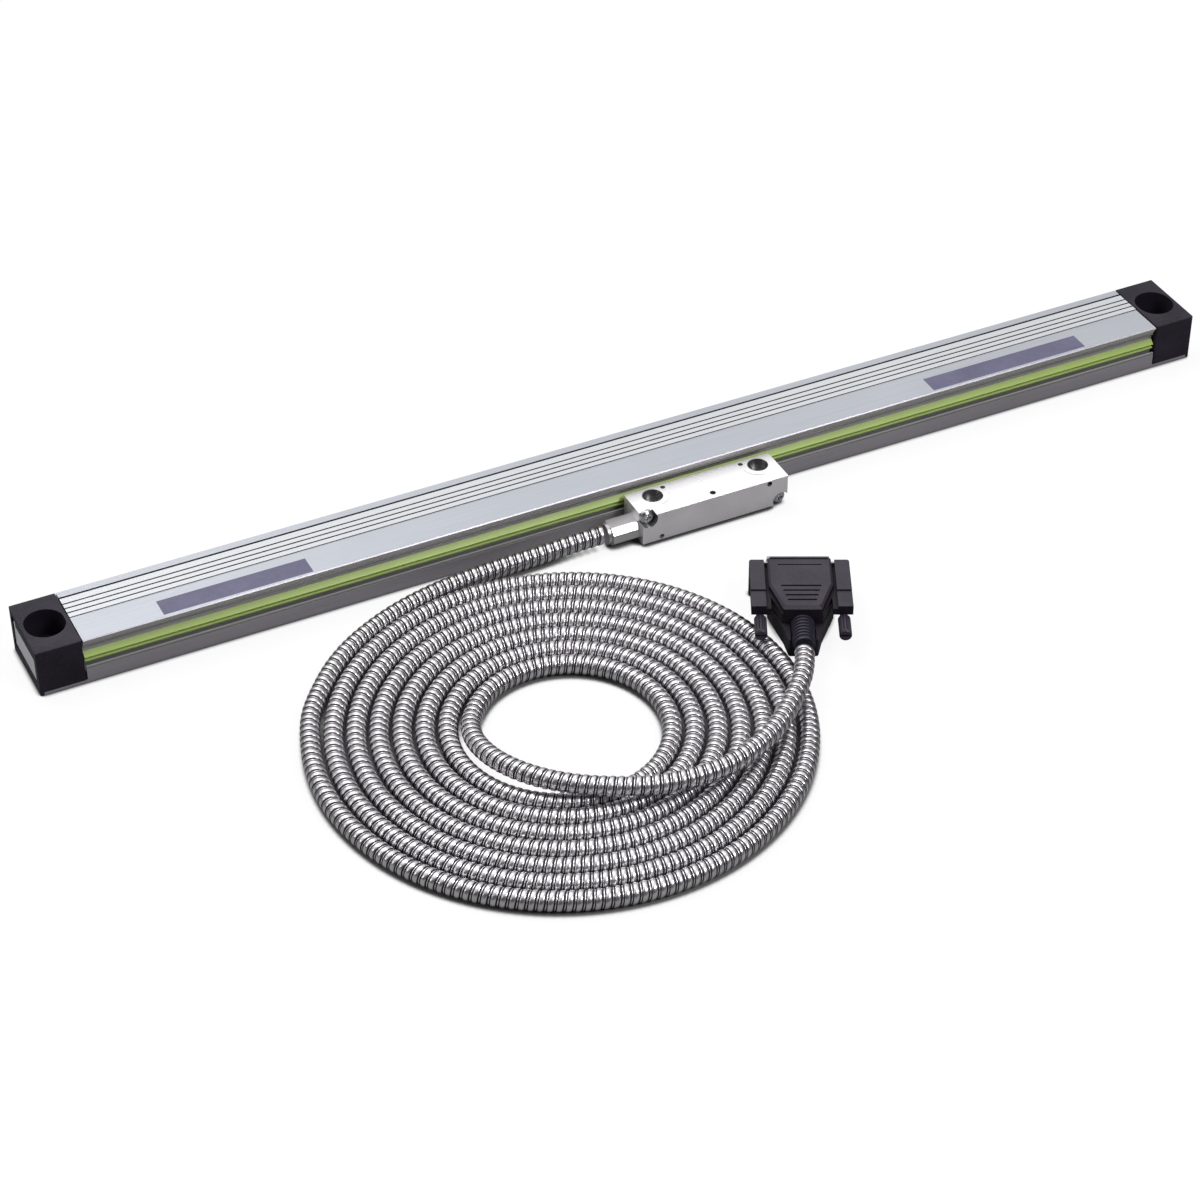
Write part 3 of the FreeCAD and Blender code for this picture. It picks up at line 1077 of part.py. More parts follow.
def make_plug_shell():
    body = plug_body("plug_shell")
    plate = sketch_on(body, "XZ_Plane", "flange_at")
    rectangle(plate, "-flange_half", "plug_seam-flange_half_height",
              "flange_half", "plug_seam+flange_half_height")
    pad(body, plate, "flange_plate", backwards=False)
    shell = sketch_on(body, "XZ_Plane", "flange_at")
    d_outline(shell, "0")
    pad(body, shell, "flange_at+shell_reach", backwards=True)
    hollow = sketch_on(body, "XZ_Plane", "flange_at+flange_plate")
    d_outline(hollow, "shell_wall")
    cut(body, hollow, "flange_plate+flange_at+shell_reach", forwards=False)
    holes = sketch_on(body, "XZ_Plane", "flange_at+flange_plate")
    for side in ("-", ""):
        circle(holes, side + "thumb_side", "plug_seam", "thumb_shaft+thumb_play")
    cut(body, holes, "flange_plate")


def contact_places():
    """Two rows of contacts, eight over seven."""
    places = []
    count = int(size("contact_count"))
    for row, number in ((1, count), (-1, count - 1)):
        for k in range(number):
            u = "(%d-%d)*contact_pitch/2" % (2 * k, number - 1)
            places.append((u, "plug_seam+contact_row" if row > 0 else "plug_seam-contact_row"))
    return places


def make_insulator():
    body = plug_body("plug_insulator")
    core = sketch_on(body, "XZ_Plane", "insulator_front")
    d_outline(core, "shell_wall")
    pad(body, core, "insulator_back-insulator_front", backwards=False)
    holes = sketch_on(body, "XZ_Plane", "insulator_back")
    for u, v in contact_places():
        circle(holes, u, v, "contact_radius")
    cut(body, holes, "insulator_back-insulator_front", forwards=False)
    contacts = []
    for u, v in contact_places():
        pin = plug_body("contact_%d" % len(contacts))
        face = sketch_on(pin, "XZ_Plane", "insulator_back")
        circle(face, u, v, "contact_radius")
        pad(pin, face, "insulator_back+contact_reach", backwards=True)
        contacts.append(pin)
    group_of("plug_contacts", contacts)


def make_thumb_screw(side, name):
    """A captive screw: threaded tip through the flange, slim shaft and a knob behind the ear."""
    body = plug_body("thumb_screw_" + name)
    for radius, low, high in (("thumb_shaft", "-thumb_tip", "thumb_knob_start"),
                              ("thumb_knob", "thumb_knob_start", "thumb_end")):
        disc = sketch_on(body, "XZ_Plane", low)
        circle(disc, side + "thumb_side", "plug_seam", radius)
        last = pad(body, disc, high + "-(" + low + ")")
    bevelled(body, last, "thumb_bevel",
             lambda e: e.Curve.TypeId == "Part::GeomCircle" and abs(e.Curve.Radius - size("thumb_knob")) < 0.01)
    mouth = sketch_on(body, "XZ_Plane", "thumb_end")
    rectangle(mouth, side + "thumb_side-thumb_knob", "plug_seam-0.35",
              side + "thumb_side+thumb_knob", "plug_seam+0.35")
    cut(body, mouth, "1", forwards=False)
    flutes = sketch_on(body, "XZ_Plane", "thumb_end-thumb_mouth")
    count = int(size("flute_count"))
    for k in range(count):
        corners = []
        rim = "*1.05*thumb_knob"
        for step, reach in ((-0.25, rim), (0.25, rim), (0, "*(1-flute_depth)*thumb_knob")):
            turn = 2 * math.pi * (k + 0.5 + step) / count
            corners.append((side + "thumb_side+(%.5f)" % math.cos(turn) + reach,
                            "plug_seam+(%.5f)" % math.sin(turn) + reach))
        outline(flutes, corners)
    cut(body, flutes, "thumb_end-thumb_mouth-thumb_knob_start-thumb_collar", forwards=False)


def make_boot():
    """The ribbed boot between the hood and the conduit, slimmer towards the cable."""
    body = plug_body("cable_boot")
    half = sketch_on(body, "XY_Plane", "plug_seam")
    step = "(boot_end-boot_start)/(boot_rings+1)"
    points = [("0", "-boot_start")]
    for k in range(int(size("boot_rings"))):
        slim = "boot_radius+boot_taper*(1-%d/boot_rings)" % k
        low = "-boot_start-%d*%s" % (k, step)
        points += [(slim, low), (slim, low + "-0.4*" + step), (slim + "+boot_ring", low + "-0.5*" + step),
                   (slim + "+boot_ring", low + "-0.9*" + step)]
    points += [("boot_radius", "-boot_end+" + step), ("boot_radius", "-boot_end"), ("0", "-boot_end")]
    outline(half, points)
    turned(body, half)


def make_hood_screws():
    screws = []
    for side in ("-", ""):
        body = plug_body("hood_screw_%d" % len(screws))
        shank = sketch_on(body, "XY_Plane", "hood_screw_sink")
        circle(shank, side + "hood_screw_side", "-hood_screw_at", "hood_screw_radius")
        pad(body, shank, "hood_screw_top-hood_screw_sink")
        head = sketch_on(body, "XY_Plane", "hood_screw_sink")
        circle(head, side + "hood_screw_side", "-hood_screw_at", "hood_screw_head")
        pad(body, head, "0.8*hood_screw_sink", backwards=True)
        screws.append(body)
    group_of("hood_screws", screws)


make_housing()
make_labels()
make_lips()
make_glass()
for block_side, block_name in (("-", "left"), ("", "right")):
    make_end_block(block_side, block_name)
    make_gasket(block_side, block_name)
make_end_screws()
make_end_plate()
make_head_block()
make_head_cover()
make_corner_screws()
make_clamp_screws()
make_arm_blade()
make_ribbon()
make_head_board()
make_carriage()
make_bearings()
make_optics()
make_spring()
make_coupling()
make_tube("conduit_lead", LEAD_ROUTE)
make_coil()
make_tube("conduit_tail", TAIL_ROUTE)
make_hood_lower()
make_hood_upper()
make_plug_shell()
make_insulator()
make_thumb_screw("-", "left")
make_thumb_screw("", "right")
make_boot()
make_hood_screws()

doc.recompute()
faults = ["%s %s" % (o.Name, o.State) for o in doc.Objects if {"Invalid", "Error"} & set(o.State)]
for label, piece in pieces.items():
    if piece.Shape.isNull() or not piece.Shape.isValid() or not piece.Shape.Solids:
        faults.append(label + " has no valid solid")
if faults:
    raise RuntimeError("; ".join(faults))

os.makedirs("parts", exist_ok=True)
for label, piece in pieces.items():
    piece.Shape.exportStep("parts/" + label + ".step")
print("%d pieces written" % len(pieces))
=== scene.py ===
import math

import bpy
from mathutils import Matrix, Vector


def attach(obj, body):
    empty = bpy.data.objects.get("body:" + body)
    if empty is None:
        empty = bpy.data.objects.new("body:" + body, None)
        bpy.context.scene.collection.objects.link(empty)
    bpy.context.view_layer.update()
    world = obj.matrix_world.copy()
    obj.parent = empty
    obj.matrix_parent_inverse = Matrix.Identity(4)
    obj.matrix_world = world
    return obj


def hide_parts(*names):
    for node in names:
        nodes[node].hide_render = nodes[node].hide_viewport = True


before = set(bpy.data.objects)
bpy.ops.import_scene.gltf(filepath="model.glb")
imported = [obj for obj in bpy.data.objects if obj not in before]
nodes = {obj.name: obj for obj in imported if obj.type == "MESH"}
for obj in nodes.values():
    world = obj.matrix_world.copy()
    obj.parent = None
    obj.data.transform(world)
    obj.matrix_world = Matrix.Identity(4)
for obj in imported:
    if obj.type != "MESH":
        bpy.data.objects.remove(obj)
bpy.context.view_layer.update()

# Studio: the part lies on a white table under three soft lamps, seen from the left and above.
# The camera stands where the photograph's did. The table glows for the camera, so that it comes
# out white, and a painted contact shadow darkens it close to what stands on it.

camera_azimuth = math.radians(-25.587)
camera_elevation = math.radians(38.337)
camera_roll = math.radians(-0.400)
camera_target = Vector((-0.04273, -0.05593, 0.0))
camera_distance = 1.24157

towards_camera = Vector((math.sin(camera_azimuth) * math.cos(camera_elevation),
                         -math.cos(camera_azimuth) * math.cos(camera_elevation),
                         math.sin(camera_elevation)))
level_right = (-towards_camera).cross(Vector((0, 0, 1))).normalized()
level_up = level_right.cross(-towards_camera)
camera_right = level_right * math.cos(camera_roll) + level_up * math.sin(camera_roll)
camera_up = level_up * math.cos(camera_roll) - level_right * math.sin(camera_roll)
turned = Matrix((camera_right, camera_up, towards_camera)).transposed().to_4x4()
camera_data = bpy.data.cameras.new("camera")
camera_data.sensor_width = 36.0
camera_data.lens = 96.83
camera_data.clip_end = 20.0
camera = bpy.data.objects.new("camera", camera_data)
camera.matrix_world = Matrix.Translation(camera_target + towards_camera * camera_distance) @ turned
bpy.context.scene.collection.objects.link(camera)
bpy.context.scene.camera = camera

view = bpy.context.scene.view_settings
view.view_transform = "Standard"


def softbox(name, place, aim, size_m, watts):
    """A square soft lamp that points at a place on the table."""
    data = bpy.data.lights.new(name, "AREA")
    data.shape = "SQUARE"
    data.size = size_m
    data.energy = watts
    lamp = bpy.data.objects.new(name, data)
    lamp.location = place
    lamp.rotation_euler = (Vector(aim) - Vector(place)).to_track_quat("-Z", "Y").to_euler()
    bpy.context.scene.collection.objects.link(lamp)


softbox("overhead_lamp", (-0.25, 0.55, 1.35), (-0.05, -0.05, 0), 0.7, 9.0)
softbox("front_lamp", (0.50, -1.05, 1.20), (-0.05, -0.05, 0), 0.55, 12.0)
softbox("left_lamp", (-1.6, 0.1, 0.7), (-0.2, -0.05, 0), 0.4, 2.2)

world = bpy.data.worlds.new("studio")
bpy.context.scene.world = world
world.use_nodes = True
sky = world.node_tree
way_of_ray = sky.nodes.new("ShaderNodeTexCoord")
towards_window = sky.nodes.new("ShaderNodeVectorMath")
towards_window.operation = "DOT_PRODUCT"
towards_window.inputs[1].default_value = (0.0, 0.45, 0.893)
brightness = sky.nodes.new("ShaderNodeValToRGB")
brightness.color_ramp.elements[0].position = 0.40
brightness.color_ramp.elements[0].color = (0.06, 0.058, 0.066, 1)
brightness.color_ramp.elements[1].position = 0.82
brightness.color_ramp.elements[1].color = (1, 1, 1, 1)
sky.links.new(way_of_ray.outputs["Generated"], towards_window.inputs[0])
sky.links.new(towards_window.outputs["Value"], brightness.inputs[0])
behind = sky.nodes.new("ShaderNodeMix")
behind.data_type = "RGBA"
behind.inputs["B"].default_value = (1, 1, 1, 1)
kind_of_ray = sky.nodes.new("ShaderNodeLightPath")
sky.links.new(kind_of_ray.outputs["Is Camera Ray"], behind.inputs["Factor"])
sky.links.new(brightness.outputs["Color"], behind.inputs["A"])
sky.links.new(behind.outputs["Result"], sky.nodes["Background"].inputs["Color"])
sky.nodes["Background"].inputs["Strength"].default_value = 1.0

table_half = 6.0
table_clearance = 0.0003
table_mesh = bpy.data.meshes.new("table")
table_corners = [(x * table_half, y * table_half, 0) for x, y in ((-1, -1), (1, -1), (1, 1), (-1, 1))]
table_mesh.from_pydata(table_corners, [], [(0, 1, 2, 3)])
table = bpy.data.objects.new("table", table_mesh)
table.location.z = -table_clearance
bpy.context.scene.collection.objects.link(table)
table_material = bpy.data.materials.new("white_table")
table_material.use_nodes = True
tree = table_material.node_tree
rays = tree.nodes.new("ShaderNodeLightPath")
# The table's colour: white for the camera, dark grey for all other rays and in the painted contact shadow.
paint = tree.nodes.new("ShaderNodeMix")
paint.data_type = "RGBA"
paint.inputs["A"].default_value = (0.20, 0.20, 0.20, 1)
paint.inputs["B"].default_value = (0.92, 0.92, 0.92, 1)
tree.links.new(paint.outputs["Result"], tree.nodes["Principled BSDF"].inputs["Base Color"])
tree.nodes["Principled BSDF"].inputs["Roughness"].default_value = 0.9
tree.nodes["Principled BSDF"].inputs["Specular IOR Level"].default_value = 0.1
glow = tree.nodes.new("ShaderNodeEmission")
glow.inputs["Color"].default_value = (1, 1, 1, 1)
glow_shares = (("Is Camera Ray", 0.90), ("Is Glossy Ray", 0.12), ("Is Transmission Ray", 0.5))
shares = []
for kind, amount in glow_shares:
    share = tree.nodes.new("ShaderNodeMath")
    share.operation = "MULTIPLY"
    share.inputs[1].default_value = amount
    tree.links.new(rays.outputs[kind], share.inputs[0])
    shares.append(share)
while len(shares) > 1:
    most = tree.nodes.new("ShaderNodeMath")
    most.operation = "MAXIMUM"
    tree.links.new(shares.pop(0).outputs[0], most.inputs[0])
    tree.links.new(shares.pop(0).outputs[0], most.inputs[1])
    shares.append(most)
# Painted contact shadow: where things stand within a few millimetres, the table's glow and white fall away.
openness = tree.nodes.new("ShaderNodeAmbientOcclusion")
openness.inputs["Distance"].default_value = 0.0035
shade = tree.nodes.new("ShaderNodeMapRange")
shade.inputs["From Min"].default_value = 0.50
shade.inputs["From Max"].default_value = 0.80
kept = tree.nodes.new("ShaderNodeMath")
kept.operation = "MULTIPLY"
seen = tree.nodes.new("ShaderNodeMath")
seen.operation = "MULTIPLY"
tree.links.new(openness.outputs["AO"], shade.inputs["Value"])
tree.links.new(shade.outputs["Result"], kept.inputs[0])
tree.links.new(shade.outputs["Result"], seen.inputs[0])
tree.links.new(rays.outputs["Is Camera Ray"], seen.inputs[1])
tree.links.new(seen.outputs[0], paint.inputs["Factor"])
tree.links.new(shares[0].outputs[0], kept.inputs[1])
lit = tree.nodes.new("ShaderNodeMixShader")
tree.links.new(kept.outputs[0], lit.inputs[0])
tree.links.new(tree.nodes["Principled BSDF"].outputs[0], lit.inputs[1])
tree.links.new(glow.outputs[0], lit.inputs[2])
tree.links.new(lit.outputs[0], tree.nodes["Material Output"].inputs[0])
table_mesh.materials.append(table_material)

# Scale housing: a drawn aluminium profile with a satin anodised skin.
# Its die leaves fine lines that run the whole length, and handling leaves faint duller patches.


def group_socket(tree, name, kind, value=None, out=False):
    """Adds one input to a node group, with its usual value, or one output."""
    socket = tree.interface.new_socket(name=name, in_out="OUTPUT" if out else "INPUT", socket_type=kind)
    if value is not None:
        socket.default_value = value


def make_streaks():
    """Fine lines and slow patches, each as a value about one half and a height."""
    tree = bpy.data.node_groups.new("streaks", "ShaderNodeTree")
    group_socket(tree, "Stretch", "NodeSocketVector", (1, 60, 60))
    group_socket(tree, "Fineness", "NodeSocketFloat", 40.0)
    group_socket(tree, "Patches", "NodeSocketFloat", 12.0)
    group_socket(tree, "Lines", "NodeSocketFloat", out=True)
    group_socket(tree, "Cloud", "NodeSocketFloat", out=True)
    inside = tree.nodes.new("NodeGroupInput")
    result = tree.nodes.new("NodeGroupOutput")
    place = tree.nodes.new("ShaderNodeTexCoord")
    stretch = tree.nodes.new("ShaderNodeVectorMath")
    stretch.operation = "MULTIPLY"
    lines = tree.nodes.new("ShaderNodeTexNoise")
    lines.inputs["Detail"].default_value = 4.0
    lines.inputs["Roughness"].default_value = 0.6
    cloud = tree.nodes.new("ShaderNodeTexNoise")
    cloud.inputs["Detail"].default_value = 3.0
    tree.links.new(place.outputs["Object"], stretch.inputs[0])
    tree.links.new(inside.outputs["Stretch"], stretch.inputs[1])
    tree.links.new(stretch.outputs[0], lines.inputs["Vector"])
    tree.links.new(inside.outputs["Fineness"], lines.inputs["Scale"])
    tree.links.new(place.outputs["Object"], cloud.inputs["Vector"])
    tree.links.new(inside.outputs["Patches"], cloud.inputs["Scale"])
    tree.links.new(lines.outputs["Fac"], result.inputs["Lines"])
    tree.links.new(cloud.outputs["Fac"], result.inputs["Cloud"])
    return tree


streaks = make_streaks()


def finish(name, dark, light, roughness, metallic=0.0, texture=None, values=None, bump=0.05,
           depth=0.0001, specular=0.5, patchiness=0.35):
    """A material whose colour and roughness wander between two values with a texture group."""
    material = bpy.data.materials.new(name)
    material.use_nodes = True
    tree = material.node_tree
    shader = tree.nodes["Principled BSDF"]
    shader.inputs["Metallic"].default_value = metallic
    shader.inputs["Specular IOR Level"].default_value = specular
    group = tree.nodes.new("ShaderNodeGroup")
    group.node_tree = texture or streaks
    for key, value in (values or {}).items():
        group.inputs[key].default_value = value
    both = tree.nodes.new("ShaderNodeMix")
    both.data_type = "FLOAT"
    both.inputs["Factor"].default_value = patchiness
    tree.links.new(group.outputs["Lines"], both.inputs["A"])
    tree.links.new(group.outputs["Cloud"], both.inputs["B"])
    spread = tree.nodes.new("ShaderNodeMapRange")
    spread.inputs["From Min"].default_value = 0.3
    spread.inputs["From Max"].default_value = 0.7
    tree.links.new(both.outputs["Result"], spread.inputs["Value"])
    colour = tree.nodes.new("ShaderNodeMix")
    colour.data_type = "RGBA"
    colour.inputs["A"].default_value = (*dark, 1)
    colour.inputs["B"].default_value = (*light, 1)
    tree.links.new(spread.outputs["Result"], colour.inputs["Factor"])
    tree.links.new(colour.outputs["Result"], shader.inputs["Base Color"])
    gloss = tree.nodes.new("ShaderNodeMapRange")
    gloss.inputs["To Min"].default_value = roughness[1]
    gloss.inputs["To Max"].default_value = roughness[0]
    tree.links.new(spread.outputs["Result"], gloss.inputs["Value"])
    tree.links.new(gloss.outputs["Result"], shader.inputs["Roughness"])
    relief = tree.nodes.new("ShaderNodeBump")
    relief.inputs["Strength"].default_value = bump
    relief.inputs["Distance"].default_value = depth
    tree.links.new(group.outputs["Lines"], relief.inputs["Height"])
    tree.links.new(relief.outputs["Normal"], shader.inputs["Normal"])
    return material


def dress(material, *names):
    """Gives CAD nodes a material in place of the plain one they came with."""
    for name in names:
        mesh = nodes[name].data
        mesh.materials.clear()
        mesh.materials.append(material)


drawn_lines = {"Stretch": (0.4, 60, 60), "Fineness": 45.0, "Patches": 14.0}
anodised = finish("satin_anodised_profile", (0.43, 0.45, 0.49), (0.54, 0.56, 0.61), (0.32, 0.44),
                  metallic=0.75, values=drawn_lines, bump=0.12)
# The lands between the grooves take a smoother copy of the skin, lighter in colour as a painted highlight.
land_painted_highlight = finish("rib_land_with_painted_highlight", (0.62, 0.64, 0.67), (0.76, 0.78, 0.80), (0.24, 0.34),
                     metallic=0.85, values=drawn_lines, bump=0.08)
# The grooves of the top take a near-black copy of the skin: painted shade.
groove_shade = finish("groove_with_painted_shade", (0.060, 0.060, 0.066), (0.130, 0.130, 0.140), (0.55, 0.75),
                      metallic=0.3, values={"Stretch": (2, 60, 60), "Fineness": 45.0, "Patches": 40.0})
# The front faces and the bevel along the top's front edge take a darker copy of the skin: painted shade.
front_painted_shade = finish("anodised_front_with_painted_shade", (0.39, 0.365, 0.405), (0.50, 0.475, 0.52), (0.34, 0.48),
                    metallic=0.6, values=drawn_lines, bump=0.12)
# The top of the rail under the lips takes a lighter matte grey: a painted highlight along it.
rail_top_painted_highlight = finish("rail_top_with_painted_highlight", (0.44, 0.43, 0.42), (0.54, 0.53, 0.52), (0.4, 0.5), metallic=0.1,
                  values=drawn_lines)
# The bead under the flange and the step under the rail take a dark grey: painted shade.
bead_painted_shade = finish("bead_with_painted_shade_under_the_flange", (0.115, 0.115, 0.110), (0.165, 0.165, 0.155), (0.5, 0.65),
                    metallic=0.4, values={"Stretch": (0.4, 60, 60), "Fineness": 45.0, "Patches": 40.0})
# The flange's leaning face takes a lighter, matte copy of the skin: painted light.
flange_painted_light = finish("leaning_flange_with_painted_light", (0.50, 0.49, 0.50), (0.64, 0.63, 0.64), (0.55, 0.7),
                     values=drawn_lines, specular=0.2)
profile_skins = (anodised, land_painted_highlight, groove_shade, front_painted_shade, rail_top_painted_highlight, bead_painted_shade, flange_painted_light)

# The section's zones in millimetres: skin, y from and to, z from and to, and how far the face looks up.
profile_zones = (
    (front_painted_shade, -16.1, -15.5, 19.2, 20.1, 0.3, 0.9),     # bevel along the top's front edge
    (bead_painted_shade, -16.1, -13.5, 15.3, 16.5, -1.1, 1.1),    # bead under the flange
    (bead_painted_shade, -16.1, -15.5, 6.2, 6.7, 0.3, 1.1),       # step under the rail below the lips
    (flange_painted_light, -16.1, -14.6, 16.8, 19, -1.1, 1.1),     # the flange's leaning face
    (groove_shade, -0.7, 12.35, 18.3, 19.99, -1.1, 1.1),  # grooves of the top
    (land_painted_highlight, -0.7, 11.35, 19.9, 20.1, 0.9, 1.1),     # lands between the grooves
    (rail_top_painted_highlight, -16.1, -15.2, 7.2, 8, 0.7, 1.1),           # top of the rail
    (front_painted_shade, -16.1, -12, -0.1, 19, -1.1, 0.9),        # the rest of the front
)


def profile_skin(centre, normal):
    """Which of the profile's skins a face has: that of the first zone around it."""
    y = centre.y * 1000
    z = centre.z * 1000
    for skin, y_low, y_high, z_low, z_high, least_rise, most_rise in profile_zones:
        if y_low < y < y_high and z_low < z < z_high and least_rise < normal.z < most_rise:
            return profile_skins.index(skin)
    return profile_skins.index(anodised)


def dress_by_face(name, materials, choose):
    """Gives each face of a CAD node the material that its place calls for."""
    mesh = nodes[name].data
    turn = nodes[name].matrix_world
    dress(materials[0], name)
    for material in materials[1:]:
        mesh.materials.append(material)
    for face in mesh.polygons:
        face.material_index = choose(turn @ face.center, turn.to_3x3() @ face.normal)


dress_by_face("scale_housing", profile_skins, profile_skin)

# Lip seals: two strips of green elastomer, extruded and pressed into the profile's slots.
# Their skin is satin; the upper lip is painted darker and greyer in its fold, a painted shade that thins
# towards its edge.

lip_fold = 0.0131
lip_edge = 0.0110


def make_lip_painted_shade():
    """Painted shade by height: none at the lip's edge, deepest in its fold, broken up along its length."""
    tree = bpy.data.node_groups.new("lip_painted_shade", "ShaderNodeTree")
    group_socket(tree, "Unevenness", "NodeSocketFloat", 0.25)
    group_socket(tree, "Lines", "NodeSocketFloat", out=True)
    group_socket(tree, "Cloud", "NodeSocketFloat", out=True)
    inside = tree.nodes.new("NodeGroupInput")
    result = tree.nodes.new("NodeGroupOutput")
    place = tree.nodes.new("ShaderNodeTexCoord")
    axes = tree.nodes.new("ShaderNodeSeparateXYZ")
    height = tree.nodes.new("ShaderNodeMapRange")
    height.inputs["From Min"].default_value = lip_fold
    height.inputs["From Max"].default_value = lip_edge
    height.inputs["To Min"].default_value = 0.3
    height.inputs["To Max"].default_value = 0.7
    grain = tree.nodes.new("ShaderNodeTexNoise")
    grain.inputs["Scale"].default_value = 900.0
    patches = tree.nodes.new("ShaderNodeTexNoise")
    patches.inputs["Scale"].default_value = 45.0
    broken = tree.nodes.new("ShaderNodeMix")
    broken.data_type = "FLOAT"
    tree.links.new(place.outputs["Object"], axes.inputs[0])
    tree.links.new(axes.outputs["Z"], height.inputs["Value"])
    tree.links.new(place.outputs["Object"], grain.inputs["Vector"])
    tree.links.new(place.outputs["Object"], patches.inputs["Vector"])
    tree.links.new(inside.outputs["Unevenness"], broken.inputs["Factor"])
    tree.links.new(height.outputs["Result"], broken.inputs["A"])
    tree.links.new(patches.outputs["Fac"], broken.inputs["B"])
    tree.links.new(grain.outputs["Fac"], result.inputs["Lines"])
    tree.links.new(broken.outputs["Result"], result.inputs["Cloud"])
    return tree


lip_painted_shade = make_lip_painted_shade()
# The upper lip's green turns darker and greyer towards its fold under the flange: painted shade.
green_rubber = finish("green_seal_rubber", (0.36, 0.46, 0.15), (0.52, 0.73, 0.13), (0.36, 0.5),
                      texture=lip_painted_shade, values={"Unevenness": 0.2}, bump=0.08, patchiness=0.9)
# The lower lip, in the upper lip's shade, takes a much lighter green: painted light.
lower_lip_painted_light = finish("lower_lip_rubber_with_painted_light", (0.66, 0.88, 0.26), (0.76, 0.95, 0.36), (0.36, 0.5),
                            texture=lip_painted_shade, values={"Unevenness": 0.7}, bump=0.08)
dress(green_rubber, "upper_lip_seal")
dress(lower_lip_painted_light, "lower_lip_seal")

# End blocks: moulded glass-filled plastic, nearly black with a violet cast and a fine grain.
# Each is held on the profile's end by two countersunk screws over a rubber gasket.


def make_moulded():
    """The fine grain of a moulded plastic, with slow patches where the skin is duller."""
    tree = bpy.data.node_groups.new("moulded_grain", "ShaderNodeTree")
    group_socket(tree, "Grain", "NodeSocketFloat", 1800.0)
    group_socket(tree, "Patches", "NodeSocketFloat", 60.0)
    group_socket(tree, "Lines", "NodeSocketFloat", out=True)
    group_socket(tree, "Cloud", "NodeSocketFloat", out=True)
    inside = tree.nodes.new("NodeGroupInput")
    result = tree.nodes.new("NodeGroupOutput")
    place = tree.nodes.new("ShaderNodeTexCoord")
    pits = tree.nodes.new("ShaderNodeTexVoronoi")
    cloud = tree.nodes.new("ShaderNodeTexNoise")
    cloud.inputs["Detail"].default_value = 4.0
    tree.links.new(place.outputs["Object"], pits.inputs["Vector"])
    tree.links.new(inside.outputs["Grain"], pits.inputs["Scale"])
    tree.links.new(place.outputs["Object"], cloud.inputs["Vector"])
    tree.links.new(inside.outputs["Patches"], cloud.inputs["Scale"])
    tree.links.new(pits.outputs["Distance"], result.inputs["Lines"])
    tree.links.new(cloud.outputs["Fac"], result.inputs["Cloud"])
    return tree


moulded_grain = make_moulded()
block_plastic = finish("end_block_plastic", (0.009, 0.007, 0.013), (0.024, 0.019, 0.033), (0.50, 0.66),
                       texture=moulded_grain, values={"Grain": 1500.0, "Patches": 70.0}, bump=0.2,
                       patchiness=0.7, specular=0.28)
dress(block_plastic, "end_block_left", "end_block_right")
black_rubber = finish("black_rubber", (0.010, 0.010, 0.012), (0.025, 0.025, 0.028), (0.6, 0.8),
                      texture=moulded_grain, values={"Grain": 900.0, "Patches": 40.0}, bump=0.2)
dress(black_rubber, "end_gasket_left", "end_gasket_right", "glass_clamp_strip")
bare_foil = finish("bare_foil_plate", (0.62, 0.64, 0.68), (0.78, 0.80, 0.83), (0.4, 0.55),
                   values={"Stretch": (1, 1, 30), "Fineness": 60.0, "Patches": 60.0})
dress(bare_foil, "end_plate_left")
screw_steel = finish("zinc_plated_screw", (0.45, 0.45, 0.47), (0.68, 0.68, 0.70), (0.22, 0.38), metallic=1.0,
                     values={"Stretch": (8, 8, 8), "Fineness": 60.0, "Patches": 90.0})
dress(screw_steel, "end_screws")

# Label plates: two bare plastic films stuck on the profile's flat band.
# They are slate with a violet cast, satin and slightly uneven.

label_film = finish("slate_label_film", (0.085, 0.080, 0.145), (0.125, 0.120, 0.200), (0.38, 0.5),
                    values={"Stretch": (2, 2, 2), "Fineness": 220.0, "Patches": 60.0}, bump=0.05,
                    patchiness=0.6)
dress(label_film, "label_plate_left", "label_plate_right")

# Reading head: a milled block of nickel-plated aluminium with a cover let into its back.
# Two bolts hold it through the counterbored holes. The screws, the blade, the spring and the
# bearings inside are steel; the lamp shines through the graduated glass on the sensor's board.

head_nickel = finish("head_nickel_plate", (0.83, 0.80, 0.83), (0.93, 0.90, 0.93), (0.30, 0.42),
                     metallic=0.75, values={"Stretch": (1, 1, 1), "Fineness": 160.0, "Patches": 90.0},
                     bump=0.05, patchiness=0.6)
ground_top = finish("ground_top_face", (0.90, 0.89, 0.90), (0.97, 0.96, 0.97), (0.24, 0.34),
                    metallic=0.35, values={"Stretch": (1, 12, 1), "Fineness": 220.0, "Patches": 90.0},
                    bump=0.04, patchiness=0.6)
# The walls of the holes and of the block's inside take a dark grey: painted shade.
hole_wall_painted_shade = finish("hole_wall_with_painted_shade", (0.24, 0.23, 0.24), (0.46, 0.45, 0.46), (0.22, 0.36), metallic=0.85,
                     values={"Stretch": (1, 1, 12), "Fineness": 260.0, "Patches": 120.0}, bump=0.1)
hole_places = (Vector((-0.0032, -0.0219)), Vector((0.0436, -0.0219)))
hole_reach = 0.0043
hole_floor = 0.002
head_top_face = 0.0142
inner_low = (-0.0126, -0.0330, 0.0025)
inner_high = (0.0506, -0.0170, 0.01435)
flat_rise = 0.99
top_rise = 0.9


def head_skin(centre, normal):
    """Plated skin outside, a dark grey inside the block and its holes as painted shade, and a ground top."""
    inside = all(low < c < high for low, c, high in zip(inner_low, centre, inner_high))
    if inside and abs(normal.z) < flat_rise:
        return 1
    for place in hole_places:
        if (centre.xy - place).length < hole_reach and hole_floor < centre.z < head_top_face:
            return 1
    return 2 if normal.z > top_rise and centre.z > head_top_face else 0


